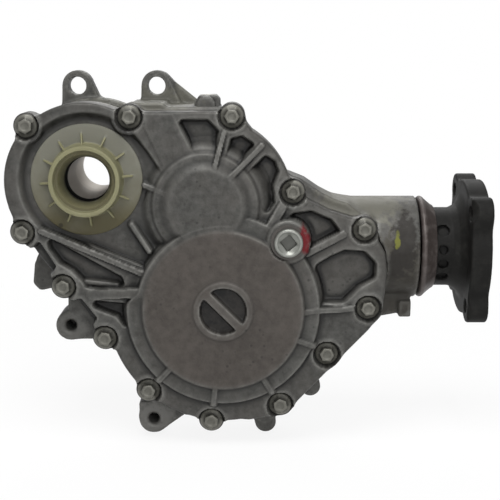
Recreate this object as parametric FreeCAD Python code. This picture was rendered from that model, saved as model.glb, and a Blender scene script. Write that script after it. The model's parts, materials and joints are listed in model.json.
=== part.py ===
"""Power transfer unit: a transfer case that bolts to a transaxle and turns the drive through a right angle.

Frame, in millimetres: the origin is on the hollow input shaft's axis, at the transaxle mounting face.
+X runs rearwards along the vehicle, towards the companion flange, +Z is up, and +Y points out of the
mounting face into the transaxle. The halfshaft passes through the unit along Y.

Drive path: input gear, idler gear, driven gear, crown gear, offset pinion, companion flange.
"""
import FreeCAD, Part
import math
import os
from math import cos, pi, radians, sin, sqrt, tan

V = FreeCAD.Vector
AXIS_X, AXIS_Y, AXIS_Z = V(1, 0, 0), V(0, 1, 0), V(0, 0, 1)

# ---------------------------------------------------------------- driving dimensions
# Levels along Y, from the mounting face (0) forwards to the front of the cover
MOUNT_Y = 0.0
REAR_WALL_Y = -3.0
CASE_FLANGE_Y = -50.0
GASKET = 0.6
SPLIT_Y = -62.0
CASE_FACE_Y = SPLIT_Y + GASKET
POCKET_Y = -70.0
BOLT_SEAT_Y = -72.0
EDGE_Y = -66.0
BASIN_Y = -74.0
PLATE_Y = -79.0
RIDGE_Y = -82.0
BAND_Y = -84.5
SHOULDER_Y = -82.3
PLUG_SEAT_Y = -86.5
DOME_Y = -86.5
PAD_Y = -88.0

# Transfer gears
MODULE = 2.5
PRESSURE = radians(20)
HELIX = radians(14)
INPUT_TEETH, IDLER_TEETH, DRIVEN_TEETH = 36, 37, 27
GEAR_BACK_Y, GEAR_FRONT_Y = -28.0, -48.0
CHAMBER_Y = -26.0
BACKLASH = 0.3
INPUT_TO_IDLER = radians(-12.37)
IDLER_TO_RING = radians(-80.56)

# Crown gear and offset pinion
CROWN_MODULE = 3.0
PINION_TEETH, CROWN_TEETH = 14, 33
CROWN_IN_R, CROWN_OUT_R, CROWN_BORE_R = 62.0, 71.0, 36.0
CROWN_BOLT_R, CROWN_BOLTS = 42.0, 10
CROWN_BACKLASH = 1.2
PINION_R = CROWN_MODULE * PINION_TEETH / 2
TAIL_Y, TAIL_Z = -31.0, -58.0
PITCH_Y = TAIL_Y - PINION_R
CROWN_TIP_Y = PITCH_Y + 0.70 * CROWN_MODULE
CROWN_ROOT_Y = PITCH_Y - 1.22 * CROWN_MODULE
CROWN_FRONT_Y = CROWN_ROOT_Y - 7.4
CROWN_FLANGE_BACK_Y = CROWN_ROOT_Y + 6.0

# Tail
NECK_R, NECK_END_X = 40.0, 252.5
HUB_R, HUB_BORE_R, THREAD_R, HUB_FLOOR_X = 31.0, 12.5, 11.0, 275.5
FLANGE_BACK_X, FLANGE_FACE_X = 289.0, 305.0
FLANGE_PCD, FLANGE_LOBE_R, FLANGE_HOLE_R = 104.0, 13.0, 5.25
FLANGE_TURN = radians(8)

# Bearings: bore radius, outer radius, width, number of rollers
INPUT_BEARING = (22.5, 37.5, 15.0, 20)
RING_FRONT_BEARING = (12.5, 26.0, 14.5, 13)
RING_REAR_BEARING = (15.0, 31.0, 17.0, 14)
HEAD_BEARING = (14.0, 26.0, 16.0, 15)
TAIL_BEARING = (13.5, 28.0, 16.0, 13)

# Where each bearing's small end lies, along Y or, on the pinion, along X
INPUT_FRONT_END, INPUT_REAR_END = -64.5, -11.0
RING_FRONT_END, RING_REAR_END = -80.5, -9.0
HEAD_END, TAIL_END = 187.5, 227.5
HEAD_BIG_END = HEAD_END - HEAD_BEARING[2]
TAIL_BIG_END = TAIL_END + TAIL_BEARING[2]

# Idler pin and its needle rollers
PIN_R, PIN_NOSE_R, PIN_COLLAR_R = 14.0, 7.5, 19.0
NEEDLE_R, NEEDLES = 1.7, 26
IDLER_BORE_R = PIN_R + 2 * NEEDLE_R + 0.1
PIN_COLLAR_Y = GEAR_FRONT_Y + 1.7
IDLER_HUB_Y = GEAR_FRONT_Y + 3.5

# Halfshaft passage
PASSAGE_R = 16.5
SEAL_BORE_R = 30.0
SPLINE_END_Y = 28.0
PROTECTOR_R = 42.0
PROTECTOR_RIM, PROTECTOR_COLLAR = 1.5, 16.5
MOUNT_FACE_R, SPIGOT_R, O_RING_GROOVE_R = 58.0, 46.0, 44.2

# Hollows of the housing: gear chambers, and the oil seal's seat at the tail
INPUT_CHAMBER_R, IDLER_CHAMBER_R, CROWN_CHAMBER_R = 50.0, 51.0, 73.0
TAIL_PASSAGE_R, TAIL_SEAL_R = 21.0, 34.0

# Fasteners
BOLT_R, BOLT_WASHER_R, BOLT_FLATS, BOLT_HEAD = 4.0, 8.5, 10.0, 7.4
BOLT_END_Y, SHORT_BOLT_END_Y = -42.0, -52.0
BOSS_R, SCALLOP_R, SCALLOP_WALL = 9.8, 10.6, 3.0
LUG_HOLE_R, LUG_R, LUG_T = 7.0, 12.0, 13.0
LOWER_LUG_HOLE_R = 5.1
BRACKET_BOSS_R, BRACKET_HOLE_R = 11.5, 4.25
BOLT_CLEAR_R, DOWEL_R = 4.4, 4.0
PLUG_THREAD_R, PLUG_WASHER_R, PLUG_SPOT_R = 8.6, 13.2, 14.2
BOTTOM_BOSS_R, VENT_HOLE_R = 8.0, 5.0


def polar(centre, angle, distance):
    return centre[0] + distance * cos(angle), centre[1] + distance * sin(angle)


INPUT = (0.0, 0.0)
IDLER = polar(INPUT, INPUT_TO_IDLER, MODULE * (INPUT_TEETH + IDLER_TEETH) / 2)
RING = polar(IDLER, IDLER_TO_RING, MODULE * (IDLER_TEETH + DRIVEN_TEETH) / 2)
PINION_OFFSET = TAIL_Z - RING[1]
PINION_HEAD_X = RING[0] + 45.2
PINION_FACE, PINION_COLLAR_R = 14.0, 18.4
PLUG = (151.2, -45.6)

# Places in the XZ plane
COVER_BOLTS = [
    (-44.5, 40.0), (32.7, 46.7), (109.0, 47.2), (154.8, -9.3), (209.1, -37.9), (212.6, -98.5), (181.5, -134.5),
    (145.9, -174.9), (92.5, -187.7), (44.1, -163.7), (11.3, -122.1), (-19.7, -81.9), (-49.6, -40.1),
]
NEAR_TAIL_BORE = COVER_BOLTS[4]      # this bolt is a shorter one
DOWELS = [(56.0, 45.5), (201.0, -119.0)]
BRACKET_BOSSES = [(-16.8, -115.9), (46.7, -191.2)]
MOUNT_LUGS = [(-14.0, 67.5), (48.6, 67.5)]
LOWER_LUG = (-37.5, -80.0)
BOTTOM_BOSSES = [((134.8, -195.0), -20.0), ((170.0, -165.5), -34.0)]
VENT = (90.3, -44.0)
PINION_WINDOW = [(139, -33), (166, -33), (166, -83), (139, -83)]

# Flat webs of the case's flange: beside each bracket boss, and beside the bottom boss
CASE_WEBS = [
    [(-18.5, -88.0), (-18.8, -104.0), (-26.5, -112.0), (-12.0, -126.6), (5.0, -127.0), (12.0, -118.0),
     (0.0, -92.0)],
    [(35.0, -178.0), (35.4, -190.0), (47.0, -200.0), (57.0, -198.0), (76.0, -184.5), (62.0, -172.0)],
    [(119.0, -182.0), (121.0, -187.5), (126.5, -192.6), (134.0, -196.5), (142.0, -190.5), (147.0, -187.5),
     (147.0, -180.0)],
]

# Straight and gently curved stretches of the joint's outline; discs about the shafts make the round ones
JOINT_POLYGON = [
    (-59, -20), (-52, -38), (-38.5, -59.5), (-27, -74), (-9.5, -95), (4, -113), (27, -139), (40, -160),
    (72, -182.5), (122, -186.5), (150, -181), (195.4, -133.3), (213, -115), (222, -103), (225, -86),
    (226.5, -69), (225, -55.6), (217, -41), (205, -30.5), (182.6, -23.4), (164.3, -14.2), (152, 2),
    (117, 46), (98, 50.8), (42, 50.8), (20, 52), (-30, 50), (-56, 24),
]
JOINT_DISCS = [((-2.0, -2.0), 59.5), (IDLER, 66.5), (RING, 88.5)]

# Deep cast pockets in the cover's front, between the ribs
COVER_POCKETS = [
    [(67.3, 45.8), (91.8, 45.8), (100.3, 36.8), (96.0, 16.0), (80.4, 20.4)],
    [(107.6, 31.9), (116.8, 33.9), (127.0, 26.7), (109.8, 7.9), (102.7, 12.2)],
    [(117.6, 3.2), (133.8, 19.9), (141.8, 14.7), (145.0, 6.5), (140.8, -4.7), (141.8, -17.7), (134.3, -27.7)],
    [(149.3, -25.2), (168.6, -22.4), (184.4, -29.2), (191.1, -38.2), (189.0, -43.3), (170.8, -54.2),
     (162.8, -49.7)],
    [(171.3, -64.2), (182.8, -57.2), (193.8, -52.3), (209.6, -53.3), (218.8, -62.8), (218.6, -75.2),
     (206.3, -82.1), (197.0, -90.2), (193.8, -94.5), (170.0, -94.5)],
    [(-31.0, -45.5), (-26.4, -43.9), (25.8, -73.1), (28.2, -78.9), (24.8, -83.8), (-1.7, -82.8), (-5.0, -77.0),
     (-12.0, -69.5), (-21.5, -64.0), (-30.0, -52.0)],
    [(-0.8, -91.1), (40.0, -94.5), (41.0, -112.5), (26.7, -113.0), (21.0, -105.2), (10.6, -101.3),
     (3.9, -98.4)],
]
# Low stretches of the cover's edge, outside its wall
EDGE_STRIPS = [
    [(-6.0, -90.5), (6.0, -106.0), (1.0, -114.0), (-16.0, -93.0)],
    [(-36.0, -47.0), (-24.0, -66.0), (-30.0, -76.0), (-50.0, -50.0)],
]
# The sunken floor between the halfshaft bore and the idler's dome
BASIN_SIDE = [
    (20.0, 43.0), (38.8, 31.3), (46.3, 22.3), (58.8, 3.3), (64.8, -7.7), (60.8, -27.7), (56.3, -55.7),
    (47.8, -68.5), (-33.0, -34.5), (0.0, 10.0),
]
DIAGONAL_LAND = [(37.8, 50.5), (66.0, 50.5), (82.8, 15.3), (68.8, 2.3), (58.8, 6.3)]

# Ribs on the cover: start, end, base width, top width, floor level, top level at the start and at the end
COVER_RIBS = [
    ((103.8, 37.3), (96.3, 10.3), 6.5, 3.6, POCKET_Y, -80.5, -85.5),
    ((131.3, 25.8), (107.3, 1.8), 6.5, 3.8, POCKET_Y, -80.5, -85.5),
    ((147.3, -18.7), (137.3, -35.7), 10.0, 7.0, POCKET_Y, -81.0, -84.0),
    ((165.3, -55.2), (192.8, -40.9), 8.0, 5.2, POCKET_Y, -82.0, -80.5),
    ((162.0, -99.4), (202.0, -98.0), 7.0, 4.2, POCKET_Y, -86.5, -80.5),
    ((-34.2, -38.3), (48.6, -73.5), 7.5, 4.6, POCKET_Y, RIDGE_Y, RIDGE_Y - 1.5),
    ((43.6, -4.0), (64.8, -12.2), 6.0, 3.2, BASIN_Y, -79.0, -85.0),
    ((33.5, -34.0), (46.8, -53.7), 6.5, 3.2, BASIN_Y, -78.5, -82.0),
    ((-5.2, -77.2), (21.3, -80.2), 5.0, 2.6, POCKET_Y, -75.5, -75.5),
    ((2.0, -87.3), (46.0, -84.5), 10.0, 7.5, POCKET_Y, PLATE_Y, PAD_Y + 0.8),
    ((26.0, -73.5), (47.0, -79.0), 13.0, 11.0, POCKET_Y, PLATE_Y, PAD_Y + 0.8),
]
BAND_GUSSETS = [-22, -60, -96, -132]


# ---------------------------------------------------------------- building helpers
def prism(face, y0, y1):
    """A face drawn at Y 0 in the XZ plane, extruded from level y0 to y1."""
    moved = face.copy()
    moved.translate(V(0, y0, 0))
    return moved.extrude(V(0, y1 - y0, 0))


def cyl_y(centre, r, y0, y1):
    lo, hi = min(y0, y1), max(y0, y1)
    return Part.makeCylinder(r, hi - lo, V(centre[0], lo, centre[1]), AXIS_Y)


def cyl_x(y, z, r, x0, x1):
    return Part.makeCylinder(r, x1 - x0, V(x0, y, z), AXIS_X)


def ring_y(centre, r_out, r_in, y0, y1):
    return cyl_y(centre, r_out, y0, y1).cut(cyl_y(centre, r_in, min(y0, y1) - 1, max(y0, y1) + 1))


def rounded_wire(points, radius, y=0.0):
    """A closed polygon in the XZ plane with each corner rounded by a tangent arc."""
    corners = []
    for i, b in enumerate(points):
        a, c = points[i - 1], points[(i + 1) % len(points)]
        to_a, to_c = (a[0] - b[0], a[1] - b[1]), (c[0] - b[0], c[1] - b[1])
        la, lc = math.hypot(*to_a), math.hypot(*to_c)
        ua, uc = (to_a[0] / la, to_a[1] / la), (to_c[0] / lc, to_c[1] / lc)
        half = math.acos(max(-1, min(1, ua[0] * uc[0] + ua[1] * uc[1]))) / 2
        r = min(radius, 0.45 * min(la, lc) * tan(half))
        back, reach = r / tan(half), r / sin(half) - r
        middle = (ua[0] + uc[0], ua[1] + uc[1])
        size = math.hypot(*middle)
        corners.append([
            V(b[0] + ua[0] * back, y, b[1] + ua[1] * back),
            V(b[0] + middle[0] / size * reach, y, b[1] + middle[1] / size * reach),
            V(b[0] + uc[0] * back, y, b[1] + uc[1] * back),
        ])
    edges = []
    for i, (start, middle, end) in enumerate(corners):
        edges.append(Part.Arc(start, middle, end).toShape())
        edges.append(Part.LineSegment(end, corners[(i + 1) % len(corners)][0]).toShape())
    return Part.Wire(edges)


def rounded_face(points, radius):
    return Part.Face(rounded_wire(points, radius))


def rounded_prism(points, radius, y0, y1):
    return prism(rounded_face(points, radius), y0, y1)


def disc_face(centre, r):
    return Part.Face(Part.Wire(Part.makeCircle(r, V(centre[0], 0, centre[1]), AXIS_Y)))


def polygon_face(points):
    corners = [V(x, 0, z) for x, z in points]
    return Part.Face(Part.makePolygon(corners + corners[:1]))


def inset(points, distance):
    """The polygon with every side moved inwards by a distance, whichever way round its points run."""
    area = sum(a[0] * b[1] - b[0] * a[1] for a, b in zip(points, points[1:] + points[:1]))
    side = distance if area > 0 else -distance
    moved = []
    for i, b in enumerate(points):
        a, c = points[i - 1], points[(i + 1) % len(points)]
        d1, d2 = (b[0] - a[0], b[1] - a[1]), (c[0] - b[0], c[1] - b[1])
        l1, l2 = math.hypot(*d1), math.hypot(*d2)
        n1, n2 = (-d1[1] / l1, d1[0] / l1), (-d2[1] / l2, d2[0] / l2)
        k = side / (1 + n1[0] * n2[0] + n1[1] * n2[1])
        moved.append((b[0] + (n1[0] + n2[0]) * k, b[1] + (n1[1] + n2[1]) * k))
    return moved


def drafted(points, radius, y_wide, y_narrow, draft):
    """A rounded prism whose walls lean inwards by a draft between its wide level and its narrow one."""
    wide = rounded_wire(points, radius, y_wide)
    narrow = rounded_wire(inset(points, draft), radius, y_narrow)
    return Part.makeLoft([wide, narrow], True, True)


def rib(start, end, base_width, top_width, y_base, y_start, y_end=None):
    """A straight drafted rib standing on y_base, its top running from y_start to y_end."""
    dx, dz = end[0] - start[0], end[1] - start[1]
    length = math.hypot(dx, dz)
    across = (-dz / length / 2, dx / length / 2)

    def section(p, top):
        corners = [(base_width, y_base), (top_width, top), (-top_width, top), (-base_width, y_base)]
        points = [V(p[0] + across[0] * w, y, p[1] + across[1] * w) for w, y in corners]
        return Part.makePolygon(points + points[:1])

    far = section(end, y_start if y_end is None else y_end)
    return Part.makeLoft([section(start, y_start), far], True, True)


def turned_y(centre, profile):
    """A body of revolution about a Y axis. The profile is a list of (radius, y) corners."""
    points = [V(centre[0] + r, y, centre[1]) for r, y in profile]
    face = Part.Face(Part.makePolygon(points + points[:1]))
    return face.revolve(V(centre[0], 0, centre[1]), AXIS_Y, 360)


def turned_x(profile):
    """A body of revolution about the tail axis. The profile is a list of (x, radius) corners."""
    points = [V(x, TAIL_Y, TAIL_Z + r) for x, r in profile]
    face = Part.Face(Part.makePolygon(points + points[:1]))
    return face.revolve(V(0, TAIL_Y, TAIL_Z), AXIS_X, 360)


def fuse(shapes):
    shapes = list(shapes)
    return shapes[0].multiFuse(shapes[1:]).removeSplitter()


def cut(shape, tools):
    return shape.cut(list(tools)).removeSplitter()


def hexagon(centre, across_flats, turn=0.0):
    return [polar(centre, turn + pi / 3 * k, across_flats / sqrt(3)) for k in range(6)]


def copies(shape, centre, count, start=0.0):
    """Copies of a shape spaced evenly round a Y axis."""
    turned = []
    for k in range(count):
        one = shape.copy()
        one.rotate(V(centre[0], 0, centre[1]), AXIS_Y, start + 360.0 * k / count)
        turned.append(one)
    return turned


def joined(faces, along):
    """One face that covers all the given faces, which lie in one plane square to a direction."""
    solid = fuse(face.extrude(along) for face in faces)
    level = faces[0].CenterOfMass.dot(along)
    return next(face for face in solid.Faces if abs(face.CenterOfMass.dot(along) - level) < 1e-6)


def joint_face():
    """The outline that the cover, the gasket and the case's flange share, its bolt bosses filleted in."""
    faces = [rounded_face(JOINT_POLYGON, 6)]
    faces += [disc_face(centre, r) for centre, r in JOINT_DISCS]
    faces += [disc_face(bolt, BOSS_R) for bolt in COVER_BOLTS]
    fillet = 5.0
    grown = joined(faces, AXIS_Y).OuterWire.makeOffset2D(fillet, join=0)
    return Part.Face(grown.makeOffset2D(-fillet, join=0))


def body_face(step):
    """The case's outline behind its flange, a step inside the joint's."""
    faces = [rounded_face(inset(JOINT_POLYGON, step), 8)]
    faces += [disc_face(centre, r - step) for centre, r in JOINT_DISCS]
    return Part.Face(joined(faces, AXIS_Y).OuterWire)


# ---------------------------------------------------------------- gear teeth
def involute(angle):
    return tan(angle) - angle


def gear_outline(teeth, module, tooth_angle, backlash, steps=2):
    """Corners of an involute section, in a plane about its axis, with one tooth centred on tooth_angle."""
    pitch_r = module * teeth / 2
    base_r, tip_r, root_r = pitch_r * cos(PRESSURE), pitch_r + module, pitch_r - 1.2 * module
    half = pi / (2 * teeth) - backlash / (4 * pitch_r)
    start_r = max(base_r, root_r)
    radii = [start_r + (tip_r - start_r) * k / steps for k in range(steps + 1)]
    flank = [(r, half + involute(PRESSURE) - involute(math.acos(min(1, base_r / r)))) for r in radii]
    if root_r < base_r:
        flank.insert(0, (root_r, flank[0][1]))
    points = []
    for k in range(teeth):
        middle = tooth_angle + 2 * pi * k / teeth
        points += [polar((0, 0), middle - a, r) for r, a in flank]
        points += [polar((0, 0), middle + a, r) for r, a in reversed(flank)]
    return points


def helical_gear(centre, teeth, tooth_angle, hand):
    """A helical gear between the gear levels. Its tooth angle holds halfway across its width."""
    width = GEAR_BACK_Y - GEAR_FRONT_Y
    twist = hand * width * tan(HELIX) / (MODULE * teeth / 2)
    wires = []
    for y, share in ((GEAR_FRONT_Y, -0.5), (GEAR_BACK_Y, 0.5)):
        outline = gear_outline(teeth, MODULE, tooth_angle + share * twist, BACKLASH)
        points = [V(centre[0] + x, y, centre[1] + z) for x, z in outline]
        wires.append(Part.makePolygon(points + points[:1]))
    return Part.makeLoft(wires, True, True)


def gear_phases():
    """The direction of one tooth on each transfer gear, such that all three are in mesh."""
    input_tooth = INPUT_TO_IDLER
    idler_tooth = INPUT_TO_IDLER + pi + pi / IDLER_TEETH
    lead = (idler_tooth - IDLER_TO_RING) % (2 * pi / IDLER_TEETH)
    driven_tooth = IDLER_TO_RING + pi - lead * IDLER_TEETH / DRIVEN_TEETH + pi / DRIVEN_TEETH
    return input_tooth, idler_tooth, driven_tooth


def bored_gear(centre, teeth, tooth_angle, hand, bore_r, web_in, web_out):
    """A helical gear with its bore, and a recess turned into each face where there is room for one."""
    depth = 5.0
    tools = [cyl_y(centre, bore_r, GEAR_FRONT_Y - 1, GEAR_BACK_Y + 1)]
    if web_out > web_in:
        tools.append(ring_y(centre, web_out, web_in, GEAR_FRONT_Y - 1, GEAR_FRONT_Y + depth))
        tools.append(ring_y(centre, web_out, web_in, GEAR_BACK_Y + 1, GEAR_BACK_Y - depth))
    return cut(helical_gear(centre, teeth, tooth_angle, hand), tools)


# ---------------------------------------------------------------- bearings and seals
def bearing(bore_r, outer_r, width, rollers):
    """A tapered roller bearing along Z from 0 to its width, small end first: cup, cone and rollers."""
    depth = outer_r - bore_r
    slope = 0.16 * depth / width
    inner, outer = bore_r + 0.26 * depth, bore_r + 0.60 * depth
    edge, lip = 2.0, 0.8
    far = width - edge

    def turned(profile):
        points = [V(r, 0, z) for r, z in profile]
        face = Part.Face(Part.makePolygon(points + points[:1]))
        return face.revolve(V(0, 0, 0), AXIS_Z, 360)

    cup = turned([
        (outer_r, 1.0), (outer_r, width), (outer + slope * width, width), (outer + slope, 1.0),
    ])
    cone = turned([
        (bore_r, 0), (inner + lip, 0), (inner + lip + slope * edge, edge), (inner + slope * edge, edge),
        (inner + slope * far, far), (inner + 2 * lip + slope * far, far),
        (inner + 2 * lip + slope * width, width), (bore_r, width),
    ])
    lean = math.atan(slope)
    start = edge + 0.7
    length = (far - start) / cos(lean) - 0.6
    radius = (outer - inner) / 2 * cos(lean) - 0.06
    centre_r = (inner + outer) / 2 + slope * start
    one = Part.makeCylinder(radius, length, V(centre_r, 0, start), V(sin(lean), 0, cos(lean)))
    ring = []
    for k in range(rollers):
        roller = one.copy()
        roller.rotate(V(0, 0, 0), AXIS_Z, 360.0 * k / rollers)
        ring.append(roller)
    return cup, cone, Part.makeCompound(ring)


def bearing_on_y(size, centre, y_small, towards):
    """A bearing on a Y shaft, its small end at y_small and its large end towards +1 or -1 along Y."""
    placed = []
    for shape in bearing(*size):
        shape.rotate(V(0, 0, 0), AXIS_X, -90 * towards)
        shape.translate(V(centre[0], y_small, centre[1]))
        placed.append(shape)
    return placed


def bearing_on_x(size, x_small, towards):
    placed = []
    for shape in bearing(*size):
        shape.rotate(V(0, 0, 0), AXIS_Y, 90 * towards)
        shape.translate(V(x_small, TAIL_Y, TAIL_Z))
        placed.append(shape)
    return placed


def lip_profile(shaft_r, outer_r, start, end):
    """Corners (radius, along) of a rotary seal: a cased ring whose lip reaches nearly to the shaft."""
    lip = shaft_r + 0.25
    way = 1 if end > start else -1
    return [
        (outer_r, start), (outer_r, end), (outer_r - 1.5, end), (outer_r - 1.5, start + 2.0 * way),
        (lip + 3.0, start + 2.0 * way), (lip + 1.8, end - 0.8 * way), (lip, end - 2.2 * way),
        (lip + 1.2, start),
    ]


# ---------------------------------------------------------------- front cover
def cover_plate(joint):
    """The cover's flange and raised plate, with its cast pockets and the basin round the halfshaft bore."""
    plate = prism(joint, SPLIT_Y, PLATE_Y)
    clear = PLATE_Y - 6
    tools = [drafted(pocket, 3.5, PLATE_Y, POCKET_Y, 2.2) for pocket in COVER_POCKETS]
    tools.append(turned_y(INPUT, [
        (0, clear), (51.5, clear), (51.5, PLATE_Y), (44.5, BASIN_Y), (0, BASIN_Y),
    ]))
    tools.append(drafted(BASIN_SIDE, 5.0, PLATE_Y, BASIN_Y, 1.5))
    tools += [rounded_prism(strip, 2.0, PLATE_Y - 1, EDGE_Y) for strip in EDGE_STRIPS]
    return cut(plate, tools)


def cover_domes():
    """The domes over the crown gear and the idler pin, the fill plug's boss and the diagonal land."""
    ring_dome = turned_y(RING, [
        (0, SPLIT_Y - 1), (79.0, SPLIT_Y - 1), (78.0, POCKET_Y), (74.5, PLATE_Y), (73.0, BAND_Y),
        (63.0, BAND_Y - 0.6), (60.8, PAD_Y + 1.0), (59.6, PAD_Y), (23.0, PAD_Y), (22.0, PAD_Y - 1.0),
        (0, PAD_Y - 1.0),
    ])
    idler_dome = turned_y(IDLER, [
        (0, SPLIT_Y - 1), (54.0, SPLIT_Y - 1), (52.0, -71.0), (44.5, -76.0), (41.0, PLATE_Y),
        (39.0, SHOULDER_Y + 0.5), (34.0, SHOULDER_Y), (27.5, DOME_Y), (0, DOME_Y),
    ])
    plug_boss = turned_y(PLUG, [
        (0, SPLIT_Y - 1), (18.5, SPLIT_Y - 1), (16.4, PLUG_SEAT_Y + 1.0), (15.4, PLUG_SEAT_Y), (0, PLUG_SEAT_Y),
    ])
    land = drafted(DIAGONAL_LAND, 3.0, POCKET_Y, PLATE_Y, 1.0)
    domes = fuse([ring_dome, idler_dome, plug_boss, land])
    basin_clear = turned_y(INPUT, [(0, -95), (52.0, -95), (44.5, BASIN_Y), (0, BASIN_Y)])
    return cut(domes, [basin_clear])


def half_moons():
    """The pair of D-shaped recesses in the middle of the crown gear's dome, either side of a bar."""
    moons = []
    along = radians(-45)
    bar, far = 3.2, 40.0
    for side in (-1, 1):
        u, n = (cos(along), sin(along)), (-sin(along) * side, cos(along) * side)
        box = [
            (RING[0] + u[0] * a + n[0] * b, RING[1] + u[1] * a + n[1] * b)
            for a, b in ((-far, bar), (far, bar), (far, far), (-far, far))
        ]
        moon = cyl_y(RING, 18.0, PAD_Y - 4, -85.0)
        moons.append(moon.common(prism(polygon_face(box), -80, -95)))
    return moons


def cover_cavity():
    """What the cover is hollowed out by: the crown gear's chamber, bearing seats, bores and holes."""
    inside = SPLIT_Y + 1
    cup_r = RING_FRONT_BEARING[1]
    tools = [
        ring_y(RING, 72.6, cup_r + 5.0, CROWN_FRONT_Y - 6.0, inside),
        cyl_y(RING, cup_r + 6.0, -65.0, inside),
        cyl_y(RING, cup_r, RING_FRONT_END - 0.5, inside),
        cyl_y(IDLER, PIN_NOSE_R, -81.5, inside),
        cyl_y(INPUT, INPUT_BEARING[1], INPUT_FRONT_END - 1.0, 0),
        cyl_y(INPUT, SEAL_BORE_R, BASIN_Y - 5, inside),
        cyl_y(PLUG, PLUG_THREAD_R, -95, inside),
        cyl_y(PLUG, PLUG_SPOT_R, PLUG_SEAT_Y, -95),
    ]
    tools += [cyl_y(bolt, BOLT_CLEAR_R, -90, inside) for bolt in COVER_BOLTS]
    tools += [cyl_y(dowel, DOWEL_R, SPLIT_Y - 6.0, inside) for dowel in DOWELS]
    return tools


def make_front_cover(joint):
    """The ribbed front half of the housing."""
    inside_joint = prism(joint, SPLIT_Y - 0.5, -95.0)
    ribs = [rib(*sizes) for sizes in COVER_RIBS]
    ribs += [
        rib(polar(RING, a, 59.0), polar(RING, a, 73.6), 6.0, 3.4, BAND_Y + 3, PAD_Y + 0.2, PAD_Y + 2.6)
        for a in map(radians, BAND_GUSSETS)
    ]
    walls = [cyl_y(bolt, SCALLOP_R + SCALLOP_WALL, SPLIT_Y - 1, PLATE_Y) for bolt in COVER_BOLTS]
    walls = [wall.common(inside_joint) for wall in walls]
    bearing_wall = ring_y(INPUT, INPUT_BEARING[1] + 5.0, SEAL_BORE_R, SPLIT_Y - 1, -50.5)
    body = fuse([cover_plate(joint), cover_domes().common(inside_joint)] + ribs + walls + [bearing_wall])
    scallops = [cyl_y(bolt, SCALLOP_R, BOLT_SEAT_Y, -95) for bolt in COVER_BOLTS]
    return cut(body, cover_cavity() + scallops + half_moons())


# ---------------------------------------------------------------- main case
def case_rear():
    """Everything the case carries at its rear: transaxle flange, spigot, lugs, bosses and stiffening ribs."""
    solids = [
        cyl_y(INPUT, MOUNT_FACE_R, -14.0, MOUNT_Y),
        cyl_y(INPUT, SPIGOT_R, MOUNT_Y - 1, MOUNT_Y + 5.0),
        turned_y(IDLER, [(0, -8), (30, -8), (28, -0.5), (0, -0.5)]),
        turned_y(RING, [(0, -8), (40, -8), (38, -0.5), (0, -0.5)]),
    ]
    for x, z in MOUNT_LUGS:
        low = z - 2 * LUG_R
        tab = [(x - LUG_R, z), (x + 0.89 * LUG_R, z + 0.45 * LUG_R), (x + 2 * LUG_R, low), (x - LUG_R - 1, low)]
        solids.append(rounded_prism(tab, 1.0, MOUNT_Y - LUG_T, MOUNT_Y))
        solids.append(cyl_y((x, z), LUG_R, MOUNT_Y - LUG_T, MOUNT_Y))
    gusset = [(54.0, 77.5), (84.0, 53.5), (84.0, 44.0), (46.0, 44.0)]
    solids.append(rounded_prism(gusset, 1.0, MOUNT_Y - 8, MOUNT_Y))
    lower_lug = [
        (-47.5, -71.0), (-49.0, -86.5), (-43.5, -92.5), (-24.0, -88.0), (-28.0, -58.0), (-44.0, -62.0),
    ]
    solids.append(rounded_prism(lower_lug, 5.0, -40.0, MOUNT_Y))
    for a in map(radians, (-150, -115, -80, -45, -10, 170)):
        solids.append(rib(polar(RING, a, 34), polar(RING, a, 79), 6, 4, -8, 0.0, -2.5))
    for a in map(radians, (70, 25, -20, 115)):
        solids.append(rib(polar(IDLER, a, 25), polar(IDLER, a, 57), 6, 4, -8, -1.0, -2.6))
    return solids


def case_outside():
    """Bosses and ledges round the case's edge."""
    ledge = [(32.0, 56.5), (57.0, 56.5), (60.0, 53.5), (100.0, 53.5), (100.0, 42.0), (32.0, 42.0)]
    vent_block = [(80.3, 56.5), (83.8, 61.5), (96.8, 62.0), (99.8, 58.6), (99.8, 44.0), (80.3, 44.0)]
    bottom = BOTTOM_BOSSES[0][0]
    solids = [
        rounded_prism(ledge, 1.5, CASE_FACE_Y + 1, -8.0),
        rounded_prism(vent_block, 1.5, -53.0, -31.0),
        cyl_y((VENT[0] - 1.0, 54.4), 7.0, -58.0, -31.0),
        rib(bottom, (bottom[0] - 5.0, bottom[1] + 14.0), 16, 15, -20.0, -58.0),
    ]
    solids += [cyl_y(centre, BOTTOM_BOSS_R, -58.0, end) for centre, end in BOTTOM_BOSSES]
    solids += [rounded_prism(web, 2.0, -60.0, -40.0) for web in CASE_WEBS]
    for x, z in BRACKET_BOSSES:
        inwards = (RING[0] - x, RING[1] - z)
        reach = math.hypot(*inwards)
        end = (x + inwards[0] / reach * 26, z + inwards[1] / reach * 26)
        solids.append(cyl_y((x, z), BRACKET_BOSS_R, -60.0, -30.0))
        solids.append(rib((x, z), end, 23, 21, -30.0, -60.0))
    return solids


def case_neck(joint):
    """The tail neck with the saddle and webs that tie it into the case. It stands clear of the cover's edge."""
    neck = turned_x([
        (136, 0), (136, 36), (150, NECK_R), (NECK_END_X, NECK_R), (NECK_END_X, 0),
    ])
    behind_cover = prism(Part.Face(joint.OuterWire.makeOffset2D(0.8)), CASE_FACE_Y, CASE_FACE_Y - 30.0)
    upper = [
        (140, 0), (152, 2), (165, -3.2), (176.6, -11.1), (187, -16.5), (198, -20), (206, -27), (206, -40),
        (140, -40),
    ]
    lower = [(205, -98), (216, -111), (226, -110.5), (237, -108.5), (248, -106), (248, -90), (205, -88)]
    foot = [(238.8, -98), (238.8, -110.9), (248.5, -110.9), (248.5, -98)]
    solids = [
        neck.cut(behind_cover),
        rounded_prism(upper, 4.0, CASE_FACE_Y + 0.2, -20.0),
        rounded_prism(lower, 2.0, -50.0, -26.0),
        rounded_prism(foot, 1.5, -52.0, -24.0),
    ]
    return solids


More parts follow.
